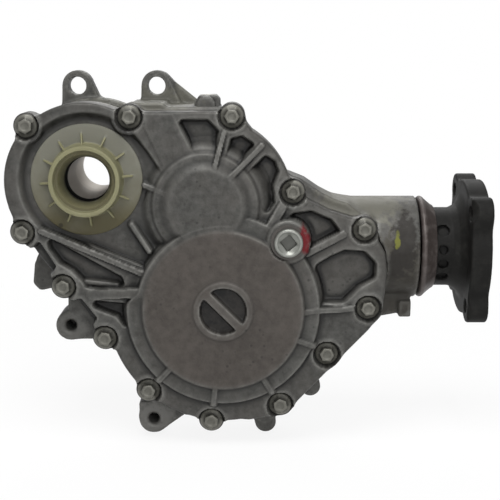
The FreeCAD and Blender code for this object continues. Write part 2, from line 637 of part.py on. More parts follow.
def bolt_end(bolt):
    return SHORT_BOLT_END_Y if bolt == NEAR_TAIL_BORE else BOLT_END_Y


def case_cavity():
    """The gear chamber, bearing seats, tail bores and screw holes of the main case."""
    front = CASE_FACE_Y - 1
    chamber = [
        cyl_y(INPUT, INPUT_CHAMBER_R, front, CHAMBER_Y), cyl_y(IDLER, IDLER_CHAMBER_R, front, CHAMBER_Y),
        cyl_y(RING, 40.0, front, CHAMBER_Y), cyl_y(RING, CROWN_CHAMBER_R, front, CROWN_TIP_Y + 1.4),
        cyl_x(TAIL_Y, TAIL_Z, 25.5, 139.0, HEAD_BIG_END + 0.5),
        rounded_prism(PINION_WINDOW, 4.0, front, TAIL_Y),
    ]
    bores = [
        cyl_y(INPUT, INPUT_BEARING[1], front, INPUT_REAR_END + 0.5),
        cyl_y(INPUT, SEAL_BORE_R, front, MOUNT_Y + 6),
        cyl_y(IDLER, PIN_R, front, -8.0),
        cyl_y(RING, RING_REAR_BEARING[1], front, RING_REAR_END + 0.5),
        cyl_x(TAIL_Y, TAIL_Z, HEAD_BEARING[1], HEAD_BIG_END - 1.0, HEAD_END - 1.0),
        cyl_x(TAIL_Y, TAIL_Z, TAIL_PASSAGE_R, HEAD_END - 2, TAIL_END + 2),
        cyl_x(TAIL_Y, TAIL_Z, TAIL_BEARING[1], TAIL_END + 1.0, NECK_END_X + 1),
        cyl_x(TAIL_Y, TAIL_Z, TAIL_SEAL_R, TAIL_BIG_END + 0.5, NECK_END_X + 1),
    ]
    holes = [cyl_y(bolt, BOLT_R, front, bolt_end(bolt) + 2.0) for bolt in COVER_BOLTS]
    holes += [cyl_y(dowel, DOWEL_R, front, CASE_FACE_Y + 8.0) for dowel in DOWELS]
    holes += [cyl_y(boss, BRACKET_HOLE_R, -61.0, -38.0) for boss in BRACKET_BOSSES]
    holes += [cyl_y(lug, LUG_HOLE_R, -15, 1) for lug in MOUNT_LUGS]
    holes.append(cyl_y(LOWER_LUG, LOWER_LUG_HOLE_R, -24, 1))
    holes.append(ring_y(INPUT, SPIGOT_R + 1, O_RING_GROOVE_R, 1.4, 3.8))
    holes.append(Part.makeCylinder(VENT_HOLE_R, 20.0, V(VENT[0], VENT[1], 45.0), AXIS_Z))
    return chamber + bores + holes


def make_main_case(joint):
    """The rear half of the housing: gear chamber, transaxle flange and tail neck."""
    body = [prism(joint, CASE_FACE_Y, CASE_FLANGE_Y), prism(body_face(6.0), CASE_FLANGE_Y - 1, REAR_WALL_Y)]
    columns = [cyl_y(bolt, 7.5, CASE_FLANGE_Y - 1, -34.0) for bolt in COVER_BOLTS]
    return cut(fuse(body + columns + case_rear() + case_outside() + case_neck(joint)), case_cavity())


def make_gasket(joint):
    above, below = SPLIT_Y - 5, CASE_FACE_Y + 5
    holes = [
        cyl_y(INPUT, INPUT_CHAMBER_R, above, below), cyl_y(IDLER, IDLER_CHAMBER_R, above, below),
        cyl_y(RING, CROWN_CHAMBER_R, above, below),
        rounded_prism(PINION_WINDOW, 4.0, above, below),
    ]
    holes += [cyl_y(bolt, BOLT_CLEAR_R, above, below) for bolt in COVER_BOLTS]
    holes += [cyl_y(dowel, DOWEL_R, above, below) for dowel in DOWELS]
    return cut(prism(joint, SPLIT_Y, CASE_FACE_Y), holes)


# ---------------------------------------------------------------- fasteners, plugs and seals
def flange_bolt(centre):
    """A flanged hex bolt with a dished head, its shank ending in the case's blind hole."""
    seat, top = BOLT_SEAT_Y, BOLT_SEAT_Y - BOLT_HEAD
    washer = turned_y(centre, [
        (0, seat), (BOLT_WASHER_R, seat), (BOLT_WASHER_R, seat - 1.4), (BOLT_FLATS / 2, seat - 3.0),
        (0, seat - 3.0),
    ])
    crown = turned_y(centre, [
        (0, seat), (BOLT_WASHER_R, seat), (BOLT_WASHER_R, top + 2.4), (BOLT_FLATS / 2 - 0.2, top), (0, top),
    ])
    hexagonal = prism(polygon_face(hexagon(centre, BOLT_FLATS)), seat - 1.0, top).common(crown)
    shank = cyl_y(centre, BOLT_R - 0.02, seat, bolt_end(centre))
    dish = cyl_y(centre, 3.0, top + 0.5, top - 1)
    return cut(fuse([hexagonal, washer, shank]), [dish])


def make_fill_plug():
    """A threaded plug with a dished head and a square drive socket."""
    seat = PLUG_SEAT_Y - 1.4
    head = turned_y(PLUG, [(0, seat), (10.8, seat), (10.8, seat - 4.8), (9.8, seat - 5.8), (0, seat - 5.8)])
    shank = cyl_y(PLUG, PLUG_THREAD_R - 0.02, seat, -73.5)
    dish = turned_y(PLUG, [(0, seat - 3.6), (7.4, seat - 5.2), (8.2, seat - 7.0), (0, seat - 7.0)])
    square = [polar(PLUG, radians(38) + pi / 2 * k, 4.8 * sqrt(2)) for k in range(4)]
    socket = prism(polygon_face(square), seat - 7.0, seat + 4.0)
    return cut(fuse([head, shank]), [dish, socket])


def make_seal_protector():
    """The moulded ring that guards the halfshaft seal in transit: rim, twelve gussets, long collar and tube."""
    back = BASIN_Y - 0.1
    rim, tip = back - PROTECTOR_RIM, back - PROTECTOR_COLLAR
    body = turned_y(INPUT, [
        (17.2, back - 1.0), (20.2, tip + 5.5), (22.4, tip + 5.0), (23.4, tip), (26.0, tip), (26.4, tip + 0.5),
        (27.6, rim - 0.8), (28.4, rim), (PROTECTOR_R - 0.6, rim), (PROTECTOR_R, rim + 0.5), (PROTECTOR_R, back),
        (19.0, back), (19.0, back + 6.4), (17.2, back + 6.4),
    ])
    one = rib((26.9, 0), (35.2, 0), 1.8, 1.2, back - 0.5, rim - 5.0, rim - 0.6)
    return fuse([body] + copies(one, INPUT, 12, 5.0))


def make_output_seal():
    corners = lip_profile(22.0, TAIL_SEAL_R, NECK_END_X - 1.0, NECK_END_X - 8.0)
    return turned_x([(along, r) for r, along in corners])


# ---------------------------------------------------------------- rotating pieces
def spline_prism(teeth, root_r, tip_r, y0, y1):
    """Flat-sided splines round the input axis."""
    half = pi / teeth / 2
    foot, tip = 1.15 * half, 0.75 * half
    points = []
    for k in range(teeth):
        middle = 2 * pi * k / teeth
        for r, a in ((root_r, -foot), (tip_r, -tip), (tip_r, tip), (root_r, foot)):
            points.append(polar(INPUT, middle + a, r))
    return prism(polygon_face(points), y0, y1)


def make_input_shaft():
    """The hollow input shaft that the halfshaft passes through, splined at the transaxle end."""
    r, front = INPUT_BEARING[0], INPUT_FRONT_END
    big_front, big_rear = front + INPUT_BEARING[2], INPUT_REAR_END - INPUT_BEARING[2]
    outside = turned_y(INPUT, [
        (0, front - 1.0), (r - 1.0, front - 1.0), (r, front), (r, big_front), (26.5, big_front),
        (26.5, big_rear), (r, big_rear), (r, 4.0), (21.0, 5.5), (19.4, 6.5), (19.4, SPLINE_END_Y),
        (0, SPLINE_END_Y),
    ])
    splines = spline_prism(28, 19.2, 21.0, 9.0, SPLINE_END_Y - 1.5)
    return cut(fuse([outside, splines]), [cyl_y(INPUT, PASSAGE_R, -80, 40)])


def make_idler_pin():
    """The fixed pin that the idler gear turns on. Its thin nose passes beside the crown gear."""
    return turned_y(IDLER, [
        (0, -81.0), (PIN_NOSE_R - 0.5, -81.0), (PIN_NOSE_R - 0.02, -80.5),
        (PIN_NOSE_R - 0.02, GEAR_FRONT_Y), (PIN_COLLAR_R, GEAR_FRONT_Y), (PIN_COLLAR_R, PIN_COLLAR_Y),
        (PIN_R - 0.02, PIN_COLLAR_Y), (PIN_R - 0.02, -9.0), (PIN_R - 0.8, -8.2), (0, -8.2),
    ])


def make_idler_gear(tooth_angle):
    """The idler gear, its hub sunk in front to take the pin's collar and a thrust washer."""
    gear = bored_gear(IDLER, IDLER_TEETH, tooth_angle, -1, IDLER_BORE_R, 25.5, 38.5)
    return cut(gear, [cyl_y(IDLER, 22.5, GEAR_FRONT_Y - 1, IDLER_HUB_Y)])


def make_idler_needles():
    middle = PIN_R + NEEDLE_R + 0.05
    one = cyl_y((IDLER[0] + middle, IDLER[1]), NEEDLE_R, IDLER_HUB_Y + 1, GEAR_BACK_Y - 1)
    return Part.makeCompound(copies(one, IDLER, NEEDLES))


def crown_section(x):
    """A slice through the crown gear's tooth at a distance x from its axis, as a rack with the pressure
    angle that suits that distance."""
    run_r = x * PINION_TEETH / CROWN_TEETH
    angle = math.acos(min(1.0, PINION_R * cos(PRESSURE) / run_r))
    pinion_half = pi / (2 * PINION_TEETH) + involute(PRESSURE) - involute(angle)
    width = (pi / PINION_TEETH - pinion_half) * run_r - CROWN_BACKLASH / 2
    run_y, foot_y = TAIL_Y - run_r, CROWN_ROOT_Y - 1.0
    low = width - (foot_y - run_y) * tan(angle)
    high = max(0.25, width - (CROWN_TIP_Y - run_y) * tan(angle))
    corners = [(-low, foot_y), (-high, CROWN_TIP_Y), (high, CROWN_TIP_Y), (low, foot_y)]
    points = [V(RING[0] + x, y, TAIL_Z + z) for z, y in corners]
    return Part.makePolygon(points + points[:1])


def crown_bolt_holes():
    one = cyl_y((RING[0] + CROWN_BOLT_R, RING[1]), 3.3, -80, -50)
    return copies(one, RING, CROWN_BOLTS)


def make_crown_gear():
    """The crown gear for an offset pinion. Each tooth lies along X when it is in mesh, and its flanks
    lean more towards the outside, so that it runs true against the pinion at every distance."""
    x_in = sqrt(CROWN_IN_R**2 - PINION_OFFSET**2) - 1.0
    x_out = sqrt(CROWN_OUT_R**2 - PINION_OFFSET**2) + 1.5
    stations = [max(x_in, 46.6), (x_in + x_out) / 2, x_out]
    tooth = Part.makeLoft([crown_section(x) for x in stations], True, True)
    tooth = tooth.common(ring_y(RING, CROWN_OUT_R, CROWN_IN_R, CROWN_FRONT_Y, CROWN_TIP_Y + 1))
    blank = turned_y(RING, [
        (CROWN_BORE_R, CROWN_FRONT_Y), (68.5, CROWN_FRONT_Y), (CROWN_OUT_R, CROWN_FRONT_Y + 2.5),
        (CROWN_OUT_R, CROWN_ROOT_Y), (CROWN_BORE_R, CROWN_ROOT_Y),
    ])
    return cut(fuse([blank] + copies(tooth, RING, CROWN_TEETH)), crown_bolt_holes())


def make_transfer_shaft():
    """The lower shaft, with the flange that carries the crown gear and the seat of the driven gear."""
    front_r, rear_r = RING_FRONT_BEARING[0], RING_REAR_BEARING[0]
    front_big, rear_big = RING_FRONT_END + RING_FRONT_BEARING[2], RING_REAR_END - RING_REAR_BEARING[2]
    back = CROWN_FLANGE_BACK_Y
    shaft = turned_y(RING, [
        (0, RING_FRONT_END), (front_r, RING_FRONT_END), (front_r, front_big), (17.5, front_big),
        (20.0, front_big + 1.5), (CROWN_BORE_R - 0.02, -62.0), (CROWN_BORE_R - 0.02, CROWN_ROOT_Y),
        (48.0, CROWN_ROOT_Y), (48.0, back), (24.0, back), (20.0, back + 1.6), (20.0, rear_big),
        (rear_r, rear_big), (rear_r, RING_REAR_END + 0.1), (0, RING_REAR_END + 0.1),
    ])
    return cut(shaft, crown_bolt_holes())


def make_crown_bolts():
    """The ring of bolts whose heads bear on the crown gear and whose shanks end in the shaft's flange."""
    centre = (RING[0] + CROWN_BOLT_R, RING[1])
    head = prism(polygon_face(hexagon(centre, 9.0)), CROWN_FRONT_Y, CROWN_FRONT_Y - 4.0)
    shank = cyl_y(centre, 3.28, CROWN_FRONT_Y, CROWN_FLANGE_BACK_Y - 1)
    return Part.makeCompound(copies(fuse([head, shank]), RING, CROWN_BOLTS))


def make_pinion_shaft():
    """The output pinion: teeth at its head, then bearing seats, a splined seat and a thread."""
    outline = gear_outline(PINION_TEETH, CROWN_MODULE, -pi / 2 + pi / PINION_TEETH, 0.12, steps=3)
    points = [V(PINION_HEAD_X, TAIL_Y + y, TAIL_Z + z) for z, y in outline]
    teeth = Part.Face(Part.makePolygon(points + points[:1])).extrude(V(PINION_FACE, 0, 0))
    head_end = PINION_HEAD_X + PINION_FACE
    shaft = turned_x([
        (PINION_HEAD_X, 0), (PINION_HEAD_X, 15.0), (head_end - 0.5, 15.0), (head_end - 0.5, PINION_COLLAR_R),
        (HEAD_BIG_END, PINION_COLLAR_R), (HEAD_BIG_END, HEAD_BEARING[0]), (HEAD_END + 3, HEAD_BEARING[0]),
        (HEAD_END + 3, TAIL_BEARING[0]), (TAIL_BIG_END, TAIL_BEARING[0]), (TAIL_BIG_END, HUB_BORE_R),
        (274.0, HUB_BORE_R), (274.0, THREAD_R), (292.0, THREAD_R), (293.5, THREAD_R - 1.5), (293.5, 0),
    ])
    return fuse([teeth, shaft])


def flange_lobes():
    """The four lobe centres (y, z) of the companion flange."""
    angles = [pi / 4 + k * pi / 2 + FLANGE_TURN for k in range(4)]
    return [(TAIL_Y + cos(a) * FLANGE_PCD / 2, TAIL_Z + sin(a) * FLANGE_PCD / 2) for a in angles]


def lobed_plate():
    """The companion flange's bolting plate: four lobes with shallow scallops between them."""
    middle = V(FLANGE_BACK_X, TAIL_Y, TAIL_Z)
    faces = [Part.Face(Part.Wire(Part.makeCircle(53.0, middle, AXIS_X)))]
    for y, z in flange_lobes():
        faces.append(Part.Face(Part.Wire(Part.makeCircle(FLANGE_LOBE_R, V(FLANGE_BACK_X, y, z), AXIS_X))))
    grown = joined(faces, AXIS_X).OuterWire.makeOffset2D(9.0, join=0)
    blended = Part.Face(grown.makeOffset2D(-9.0, join=0))
    return blended.extrude(V(FLANGE_FACE_X - FLANGE_BACK_X, 0, 0))


def make_companion_flange():
    """The output flange: seal journal, drilled barrel, flared web and the four-lobed bolting plate."""
    start, face = TAIL_BIG_END + 0.1, FLANGE_FACE_X
    barrel = turned_x([
        (start, HUB_BORE_R), (start, 22.0), (255.5, 22.0), (255.5, 29.0), (258.0, HUB_R), (280.0, HUB_R),
        (284.0, 33.5), (FLANGE_BACK_X + 1, 40.0), (face - 4, 44.0), (face - 4, 24.0), (HUB_FLOOR_X, 24.0),
        (HUB_FLOOR_X, HUB_BORE_R),
    ])
    tools = [
        cyl_x(TAIL_Y, TAIL_Z, 24.0, HUB_FLOOR_X, face + 1),
        cyl_x(TAIL_Y, TAIL_Z, 30.0, face - 4.0, face + 1),
    ]
    tools += [cyl_x(y, z, FLANGE_HOLE_R, FLANGE_BACK_X - 2, face + 1) for y, z in flange_lobes()]
    for angle, r in ((33, 4.8), (4, 3.4), (-18, 4.0), (-41, 4.6)):
        way = V(0, -cos(radians(angle)), sin(radians(angle)))
        drill = V(271.5, TAIL_Y, TAIL_Z) + way * (HUB_R - 3.6)
        tools.append(Part.makeCylinder(r, 8.0, drill, way))
    return cut(fuse([barrel, lobed_plate()]), tools)


def make_dust_deflector():
    """The pressed ring on the flange that throws dirt clear of the output seal."""
    return turned_x([
        (253.9, 35.0), (253.9, 38.8), (255.7, 40.0), (257.9, 40.0), (266.5, 32.4), (266.5, HUB_R),
        (258.0, HUB_R), (255.5, 29.4), (255.1, 33.5),
    ])


def make_pinion_nut():
    points = [V(HUB_FLOOR_X + 2.0, y, z) for y, z in hexagon((TAIL_Y, TAIL_Z), 34.0)]
    body = Part.Face(Part.makePolygon(points + points[:1])).extrude(V(13.0, 0, 0))
    return body.cut(cyl_x(TAIL_Y, TAIL_Z, THREAD_R + 0.02, 270, 295))


def make_pinion_washer():
    disc = cyl_x(TAIL_Y, TAIL_Z, 20.0, HUB_FLOOR_X, HUB_FLOOR_X + 2.0)
    return disc.cut(cyl_x(TAIL_Y, TAIL_Z, THREAD_R + 0.1, 270, 280))


def make_crush_sleeve():
    """The collapsible spacer that sets the preload of the pinion's bearings."""
    start, bore = HEAD_END + 3.0, TAIL_BEARING[0] + 0.1
    return turned_x([
        (start, bore), (start, 16.2), (203.0, 16.2), (207.0, 19.0), (211.0, 16.2), (TAIL_END, 16.2),
        (TAIL_END, bore),
    ])


# ---------------------------------------------------------------- assembly
def make_parts():
    joint = joint_face()
    gear_angles = gear_phases()
    dowels = [cyl_y(dowel, DOWEL_R - 0.02, SPLIT_Y - 5.5, CASE_FACE_Y + 7.5) for dowel in DOWELS]
    parts = {
        "front_cover": make_front_cover(joint),
        "main_case": make_main_case(joint),
        "cover_gasket": make_gasket(joint),
        "cover_bolts": Part.makeCompound([flange_bolt(bolt) for bolt in COVER_BOLTS]),
        "dowel_pins": Part.makeCompound(dowels),
        "fill_plug": make_fill_plug(),
        "fill_plug_washer": ring_y(PLUG, PLUG_WASHER_R, PLUG_THREAD_R + 0.1, PLUG_SEAT_Y, PLUG_SEAT_Y - 1.4),
        "vent_plug": Part.makeCylinder(VENT_HOLE_R - 0.02, 7.0, V(VENT[0], VENT[1], 55.0), AXIS_Z),
        "seal_protector": make_seal_protector(),
        "front_input_seal": turned_y(INPUT, lip_profile(19.0, SEAL_BORE_R, -66.5, -73.5)),
        "rear_input_seal": turned_y(INPUT, lip_profile(22.5, SEAL_BORE_R, 3.0, -5.0)),
        "output_seal": make_output_seal(),
        "spigot_o_ring": ring_y(INPUT, SPIGOT_R - 0.05, O_RING_GROOVE_R, 1.5, 3.7),
        "input_shaft": make_input_shaft(),
        "input_gear": bored_gear(INPUT, INPUT_TEETH, gear_angles[0], 1, 26.5, 30.0, 37.5),
        "idler_pin": make_idler_pin(),
        "idler_gear": make_idler_gear(gear_angles[1]),
        "idler_needles": make_idler_needles(),
        "idler_thrust_washers": Part.makeCompound([
            ring_y(IDLER, 21.5, PIN_R + 0.1, PIN_COLLAR_Y, IDLER_HUB_Y - 0.1),
            ring_y(IDLER, 21.5, PIN_R + 0.1, GEAR_BACK_Y + 0.1, CHAMBER_Y),
        ]),
        "transfer_shaft": make_transfer_shaft(),
        "driven_gear": bored_gear(RING, DRIVEN_TEETH, gear_angles[2], 1, 20.0, 0, 0),
        "crown_gear": make_crown_gear(),
        "crown_gear_bolts": make_crown_bolts(),
        "pinion_shaft": make_pinion_shaft(),
        "companion_flange": make_companion_flange(),
        "dust_deflector": make_dust_deflector(),
        "pinion_nut": make_pinion_nut(),
        "pinion_washer": make_pinion_washer(),
        "crush_sleeve": make_crush_sleeve(),
    }
    shafts = {
        "input": (
            bearing_on_y(INPUT_BEARING, INPUT, INPUT_FRONT_END, 1),
            bearing_on_y(INPUT_BEARING, INPUT, INPUT_REAR_END, -1),
        ),
        "transfer": (
            bearing_on_y(RING_FRONT_BEARING, RING, RING_FRONT_END, 1),
            bearing_on_y(RING_REAR_BEARING, RING, RING_REAR_END, -1),
        ),
        "pinion": (bearing_on_x(HEAD_BEARING, HEAD_END, -1), bearing_on_x(TAIL_BEARING, TAIL_END, 1)),
    }
    for shaft, (first, second) in shafts.items():
        for k, piece in enumerate(("cups", "cones", "rollers")):
            parts[f"{shaft}_bearing_{piece}"] = Part.makeCompound(first[k].Solids + second[k].Solids)
    return parts


def main():
    os.makedirs("parts", exist_ok=True)
    for name, shape in make_parts().items():
        shape.exportStep(f"parts/{name}.step")
        state = "ok" if shape.isValid() else "NOT VALID"
        print(f"{name:26s} solids {len(shape.Solids):3d} faces {len(shape.Faces):4d} "
              f"volume {shape.Volume / 1000:9.2f} cm3 {state}")


main()
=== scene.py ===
"""Transfer case: the finished visual model, laid out as an add-on and run as a script.

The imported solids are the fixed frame. Castings and visible fittings are surfaces worked out with numpy in
millimetres; `build_mesh` turns them into metres. Heights are measured from the mounting face towards the
front of the unit, so a height of h lies at y = -h.
"""
import json
from math import cos, pi, radians, sin

import bmesh
import bpy
import numpy as np
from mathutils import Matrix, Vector


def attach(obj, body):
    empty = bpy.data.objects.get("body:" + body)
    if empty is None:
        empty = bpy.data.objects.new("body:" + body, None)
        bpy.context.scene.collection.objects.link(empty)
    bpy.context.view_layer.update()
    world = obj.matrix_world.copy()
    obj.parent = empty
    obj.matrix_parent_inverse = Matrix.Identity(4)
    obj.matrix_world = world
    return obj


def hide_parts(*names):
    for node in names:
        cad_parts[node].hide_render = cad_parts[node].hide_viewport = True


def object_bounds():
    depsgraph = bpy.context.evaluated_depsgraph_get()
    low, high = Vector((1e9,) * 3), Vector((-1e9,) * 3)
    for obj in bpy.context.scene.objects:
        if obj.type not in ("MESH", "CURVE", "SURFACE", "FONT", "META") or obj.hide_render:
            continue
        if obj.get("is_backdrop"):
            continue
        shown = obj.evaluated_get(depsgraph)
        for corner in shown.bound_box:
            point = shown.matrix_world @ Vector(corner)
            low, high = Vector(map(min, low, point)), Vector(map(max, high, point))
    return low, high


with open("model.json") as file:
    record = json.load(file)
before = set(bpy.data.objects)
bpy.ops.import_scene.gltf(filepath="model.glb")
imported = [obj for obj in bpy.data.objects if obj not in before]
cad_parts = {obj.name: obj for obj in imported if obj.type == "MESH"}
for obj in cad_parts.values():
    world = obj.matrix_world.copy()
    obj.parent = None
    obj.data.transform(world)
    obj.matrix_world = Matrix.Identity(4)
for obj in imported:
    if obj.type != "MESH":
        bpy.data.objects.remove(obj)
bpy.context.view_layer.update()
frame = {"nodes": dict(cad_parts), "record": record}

bl_info = {
    "name": "Transfer Case",
    "version": (1, 0, 0),
    "blender": (4, 5, 0),
    "location": "View3D > Sidebar > Transfer Case",
    "description": "Builds the castings, fittings, finishes and stage of a transfer case",
    "category": "Add Mesh",
}

# ---------------------------------------------------------------- sizes shared with the solids, in mm
# Heights: the planes of the joint, then the levels of the cover's face
SPLIT, GASKET_BACK, FLANGE_BACK = 62.0, 61.4, 50.0
POCKET, SEAT, BASIN, PLATE, RIDGE, EDGE = 70.0, 72.0, 74.0, 79.0, 82.0, 66.0
DOME, PLUG_SEAT, PAD = 86.5, 86.5, 88.0
# Centres as (x, z), and the tail axis
INPUT, IDLER, RING = (0.0, 0.0), (89.13, -19.55), (102.25, -98.46)
TAIL_Y, TAIL_Z = -31.0, -58.0
PLUG = (151.2, -45.6)
COVER_BOLTS = [
    (-44.5, 40.0), (32.7, 46.7), (109.0, 47.2), (154.8, -9.3), (209.1, -37.9), (212.6, -98.5),
    (181.5, -134.5), (145.9, -174.9), (92.5, -187.7), (44.1, -163.7), (11.3, -122.1), (-19.7, -81.9),
    (-49.6, -40.1),
]
BRACKET_BOSSES = [(-16.8, -115.9), (46.7, -191.2)]
# Bosses under the case: centre, and the y that each reaches
BOTTOM_BOSSES = [((134.8, -194.5), -20.0), ((170.0, -165.5), -34.0)]
MOUNT_LUGS = [(-14.0, 67.5), (48.6, 67.5)]
LOWER_LUG = (-37.5, -80.0)
CASE_WEBS = [
    [(-18.5, -88.0), (-18.8, -104.0), (-26.5, -112.0), (-12.0, -126.6), (5.0, -127.0), (12.0, -118.0),
     (0.0, -92.0)],
    [(35.0, -178.0), (35.4, -190.0), (47.0, -200.0), (57.0, -198.0), (76.0, -184.5), (62.0, -172.0)],
    [(119.0, -182.0), (121.0, -187.5), (126.5, -192.6), (134.0, -196.5), (142.0, -190.5), (147.0, -187.5),
     (147.0, -180.0)],
]
JOINT_POLYGON = [
    (-59, -20), (-52, -38), (-38.5, -59.5), (-27, -74), (-9.5, -95), (4, -113), (27, -139), (40, -160),
    (72, -182.5), (122, -186.5), (150, -181), (195.4, -133.3), (213, -115), (222, -103), (225, -86),
    (226.5, -69), (225, -55.6), (217, -41), (205, -30.5), (182.6, -23.4), (164.3, -14.2), (152, 2),
    (117, 46), (98, 50.8), (42, 50.8), (20, 52), (-30, 50), (-56, 24),
]
JOINT_DISCS = [((-2.0, -2.0), 59.5), (IDLER, 66.5), (RING, 88.5)]
BOSS_R, SCALLOP_R, SCALLOP_WALL, SEAL_BORE_R = 9.8, 10.6, 3.0, 30.0
# Pockets of the cover: corner radius, then the outline
POCKETS = [
    (3.5, [(67.3, 45.8), (91.8, 45.8), (100.3, 36.8), (96.0, 16.0), (80.4, 20.4)]),
    (3.5, [(107.6, 31.9), (116.8, 33.9), (128.0, 26.7), (109.8, 7.9), (102.7, 12.2)]),
    (3.5, [(117.6, 3.2), (133.8, 19.9), (141.8, 14.7), (145.0, 6.5), (140.8, -4.7), (141.8, -17.7),
           (134.3, -27.7)]),
    (4.5, [(149.3, -25.2), (168.6, -22.4), (184.4, -29.2), (191.1, -38.2), (189.0, -43.3), (170.8, -54.2),
           (162.8, -49.7)]),
    (6.0, [(171.3, -64.2), (182.8, -57.2), (193.8, -52.3), (209.6, -53.3), (218.8, -62.8), (218.6, -75.2),
           (206.3, -82.1), (193.8, -94.5), (170.0, -94.5)]),
    (3.5, [(-31.0, -45.5), (-26.4, -43.9), (25.8, -73.1), (28.2, -78.9), (24.8, -83.8), (-1.7, -82.8),
           (-5.0, -77.0), (-12.0, -69.5), (-21.5, -64.0), (-30.0, -52.0)]),
    (3.5, [(-0.8, -91.1), (40.0, -94.5), (41.0, -112.5), (26.7, -113.0), (21.0, -105.2), (10.6, -101.3),
           (3.9, -98.4)]),
]
EDGE_STRIPS = [
    [(-6.0, -90.5), (6.0, -106.0), (1.0, -114.0), (-16.0, -93.0)],
    [(-36.0, -47.0), (-24.0, -66.0), (-30.0, -76.0), (-50.0, -50.0)],
]
BASIN_SIDE = [
    (20.0, 43.0), (38.8, 31.3), (46.3, 22.3), (58.8, 3.3), (64.8, -7.7), (60.8, -27.7), (56.3, -55.7),
    (47.8, -68.5), (-33.0, -34.5), (0.0, 10.0),
]
DIAGONAL_LAND = [(37.8, 50.5), (66.0, 50.5), (82.8, 15.3), (68.8, 2.3), (58.8, 6.3)]
# Ribs: start, end, base width, top width, floor height, top height at the start and at the end
RIBS = [
    ((103.8, 37.3), (96.3, 10.3), 6.5, 3.6, POCKET, 80.5, 85.5),
    ((131.3, 25.8), (107.3, 1.8), 6.5, 3.8, POCKET, 80.5, 85.5),
    ((147.3, -18.7), (137.3, -35.7), 10.0, 7.0, POCKET, 81.0, 84.0),
    ((165.3, -55.2), (192.8, -40.9), 8.0, 5.2, POCKET, 82.0, 80.5),
    ((162.0, -99.4), (202.0, -98.0), 7.0, 4.2, POCKET, 86.5, 80.5),
    ((-34.2, -38.3), (48.6, -73.5), 7.5, 4.6, POCKET, RIDGE, RIDGE + 1.5),
    ((43.6, -4.0), (64.8, -12.2), 6.0, 3.2, BASIN, 79.0, 85.0),
    ((33.5, -34.0), (46.8, -53.7), 6.5, 3.2, BASIN, 78.5, 82.0),
    ((-5.2, -78.0), (21.3, -81.0), 8.5, 2.6, POCKET, 75.5, 75.5),
    ((2.0, -87.3), (46.0, -84.5), 10.0, 7.5, POCKET, PLATE, PAD - 0.8),
    ((33.5, -77.0), (47.0, -80.0), 15.0, 12.0, POCKET, PLATE, PAD - 0.8),
]
# Gussets of the ring's band, by their direction in degrees
BAND_GUSSETS = [-22, -60, -96, -132]
# How a turned dome falls away: drop, and the radii between which it drops
RING_FALLS = [(0.6, 63.0, 72.0), (6.0, 72.4, 74.8), (10.0, 74.4, 78.4), (40.0, 78.2, 82.5)]
IDLER_FALLS = [
    (4.2, 26.8, 34.8), (0.6, 34.5, 38.8), (2.8, 38.6, 41.6), (8.4, 41.6, 52.0), (40.0, 51.0, 58.0),
]
PLUG_FALLS = [(1.0, 15.0, 16.4), (24.0, 16.2, 19.4), (40.0, 19.0, 22.0)]
# Forms of the case: flat shape, lowest and highest y, edge rounding, width of the blend
CASE_PADS = [
    ((INPUT, 58.0), -16.0, 0.0, 0.8, 3.0), ((INPUT, 54.2), -60.5, -10.0, 2.0, 2.0),
    ((IDLER, 29.5), -8.0, -0.5, 1.5, 3.0), ((RING, 39.5), -8.0, -0.5, 1.5, 3.0),
]
CASE_FORMS = [
    ((1.0, [(54.0, 77.5), (84.0, 53.5), (84.0, 44.0), (46.0, 44.0)]), -8.0, 0.0, 1.2, 3.0),
    ((4.0, [(-47.5, -71.0), (-49.0, -86.5), (-43.5, -92.5), (-24.0, -88.0), (-28.0, -58.0), (-44.0, -62.0)]),
     -40.0, 0.0, 1.5, 3.0),
    ((1.0, [(32.0, 56.5), (57.0, 56.5), (60.0, 53.5), (100.0, 53.5), (100.0, 42.0), (32.0, 42.0)]),
     -60.4, -8.0, 1.2, 2.0),
    ((1.5, [(80.3, 56.5), (83.8, 61.5), (96.8, 62.0), (99.8, 58.6), (99.8, 44.0), (80.3, 44.0)]),
     -53.0, -31.0, 1.0, 1.5),
    (((89.3, 54.4), 7.0), -58.0, -31.0, 0.8, 0.8),
    *[((middle, 7.9), -58.0, end, 1.5, 2.0) for middle, end in BOTTOM_BOSSES],
    (((134.8, -195.0), (129.8, -181.0), 7.5), -58.0, -20.0, 1.5, 2.0),
    *[((2.0, web), -60.0, -40.0, 1.5, 2.0) for web in CASE_WEBS],
]
NECK_FORMS = [
    ((3.0, [(140, 0), (152, 2), (165, -3.2), (176.6, -11.1), (187, -16.5), (198, -20), (206, -27),
            (206, -40), (140, -40)]), -61.0, -20.0, 1.5, 5.0),
    ((2.0, [(205, -98), (216, -111), (226, -110.5), (237, -108.5), (248, -106), (248, -90), (205, -88)]),
     -50.0, -26.0, 1.5, 3.0),
    ((1.5, [(238.8, -98), (238.8, -110.9), (248.5, -110.9), (248.5, -98)]), -52.0, -24.0, 1.0, 2.0),
]
# Ribs of the case's rear face: hub, directions in degrees, inner and outer radius, top y at each end
SPOKES = [
    (RING, (-150, -115, -80, -45, -10, 170), 34, 79, 0.0, -2.5),
    (IDLER, (70, 25, -20, 115), 25, 57, -1.0, -2.6),
]
SPOKE_FOOT, SPOKE_FOOT_HALF = -8.0, 3.0
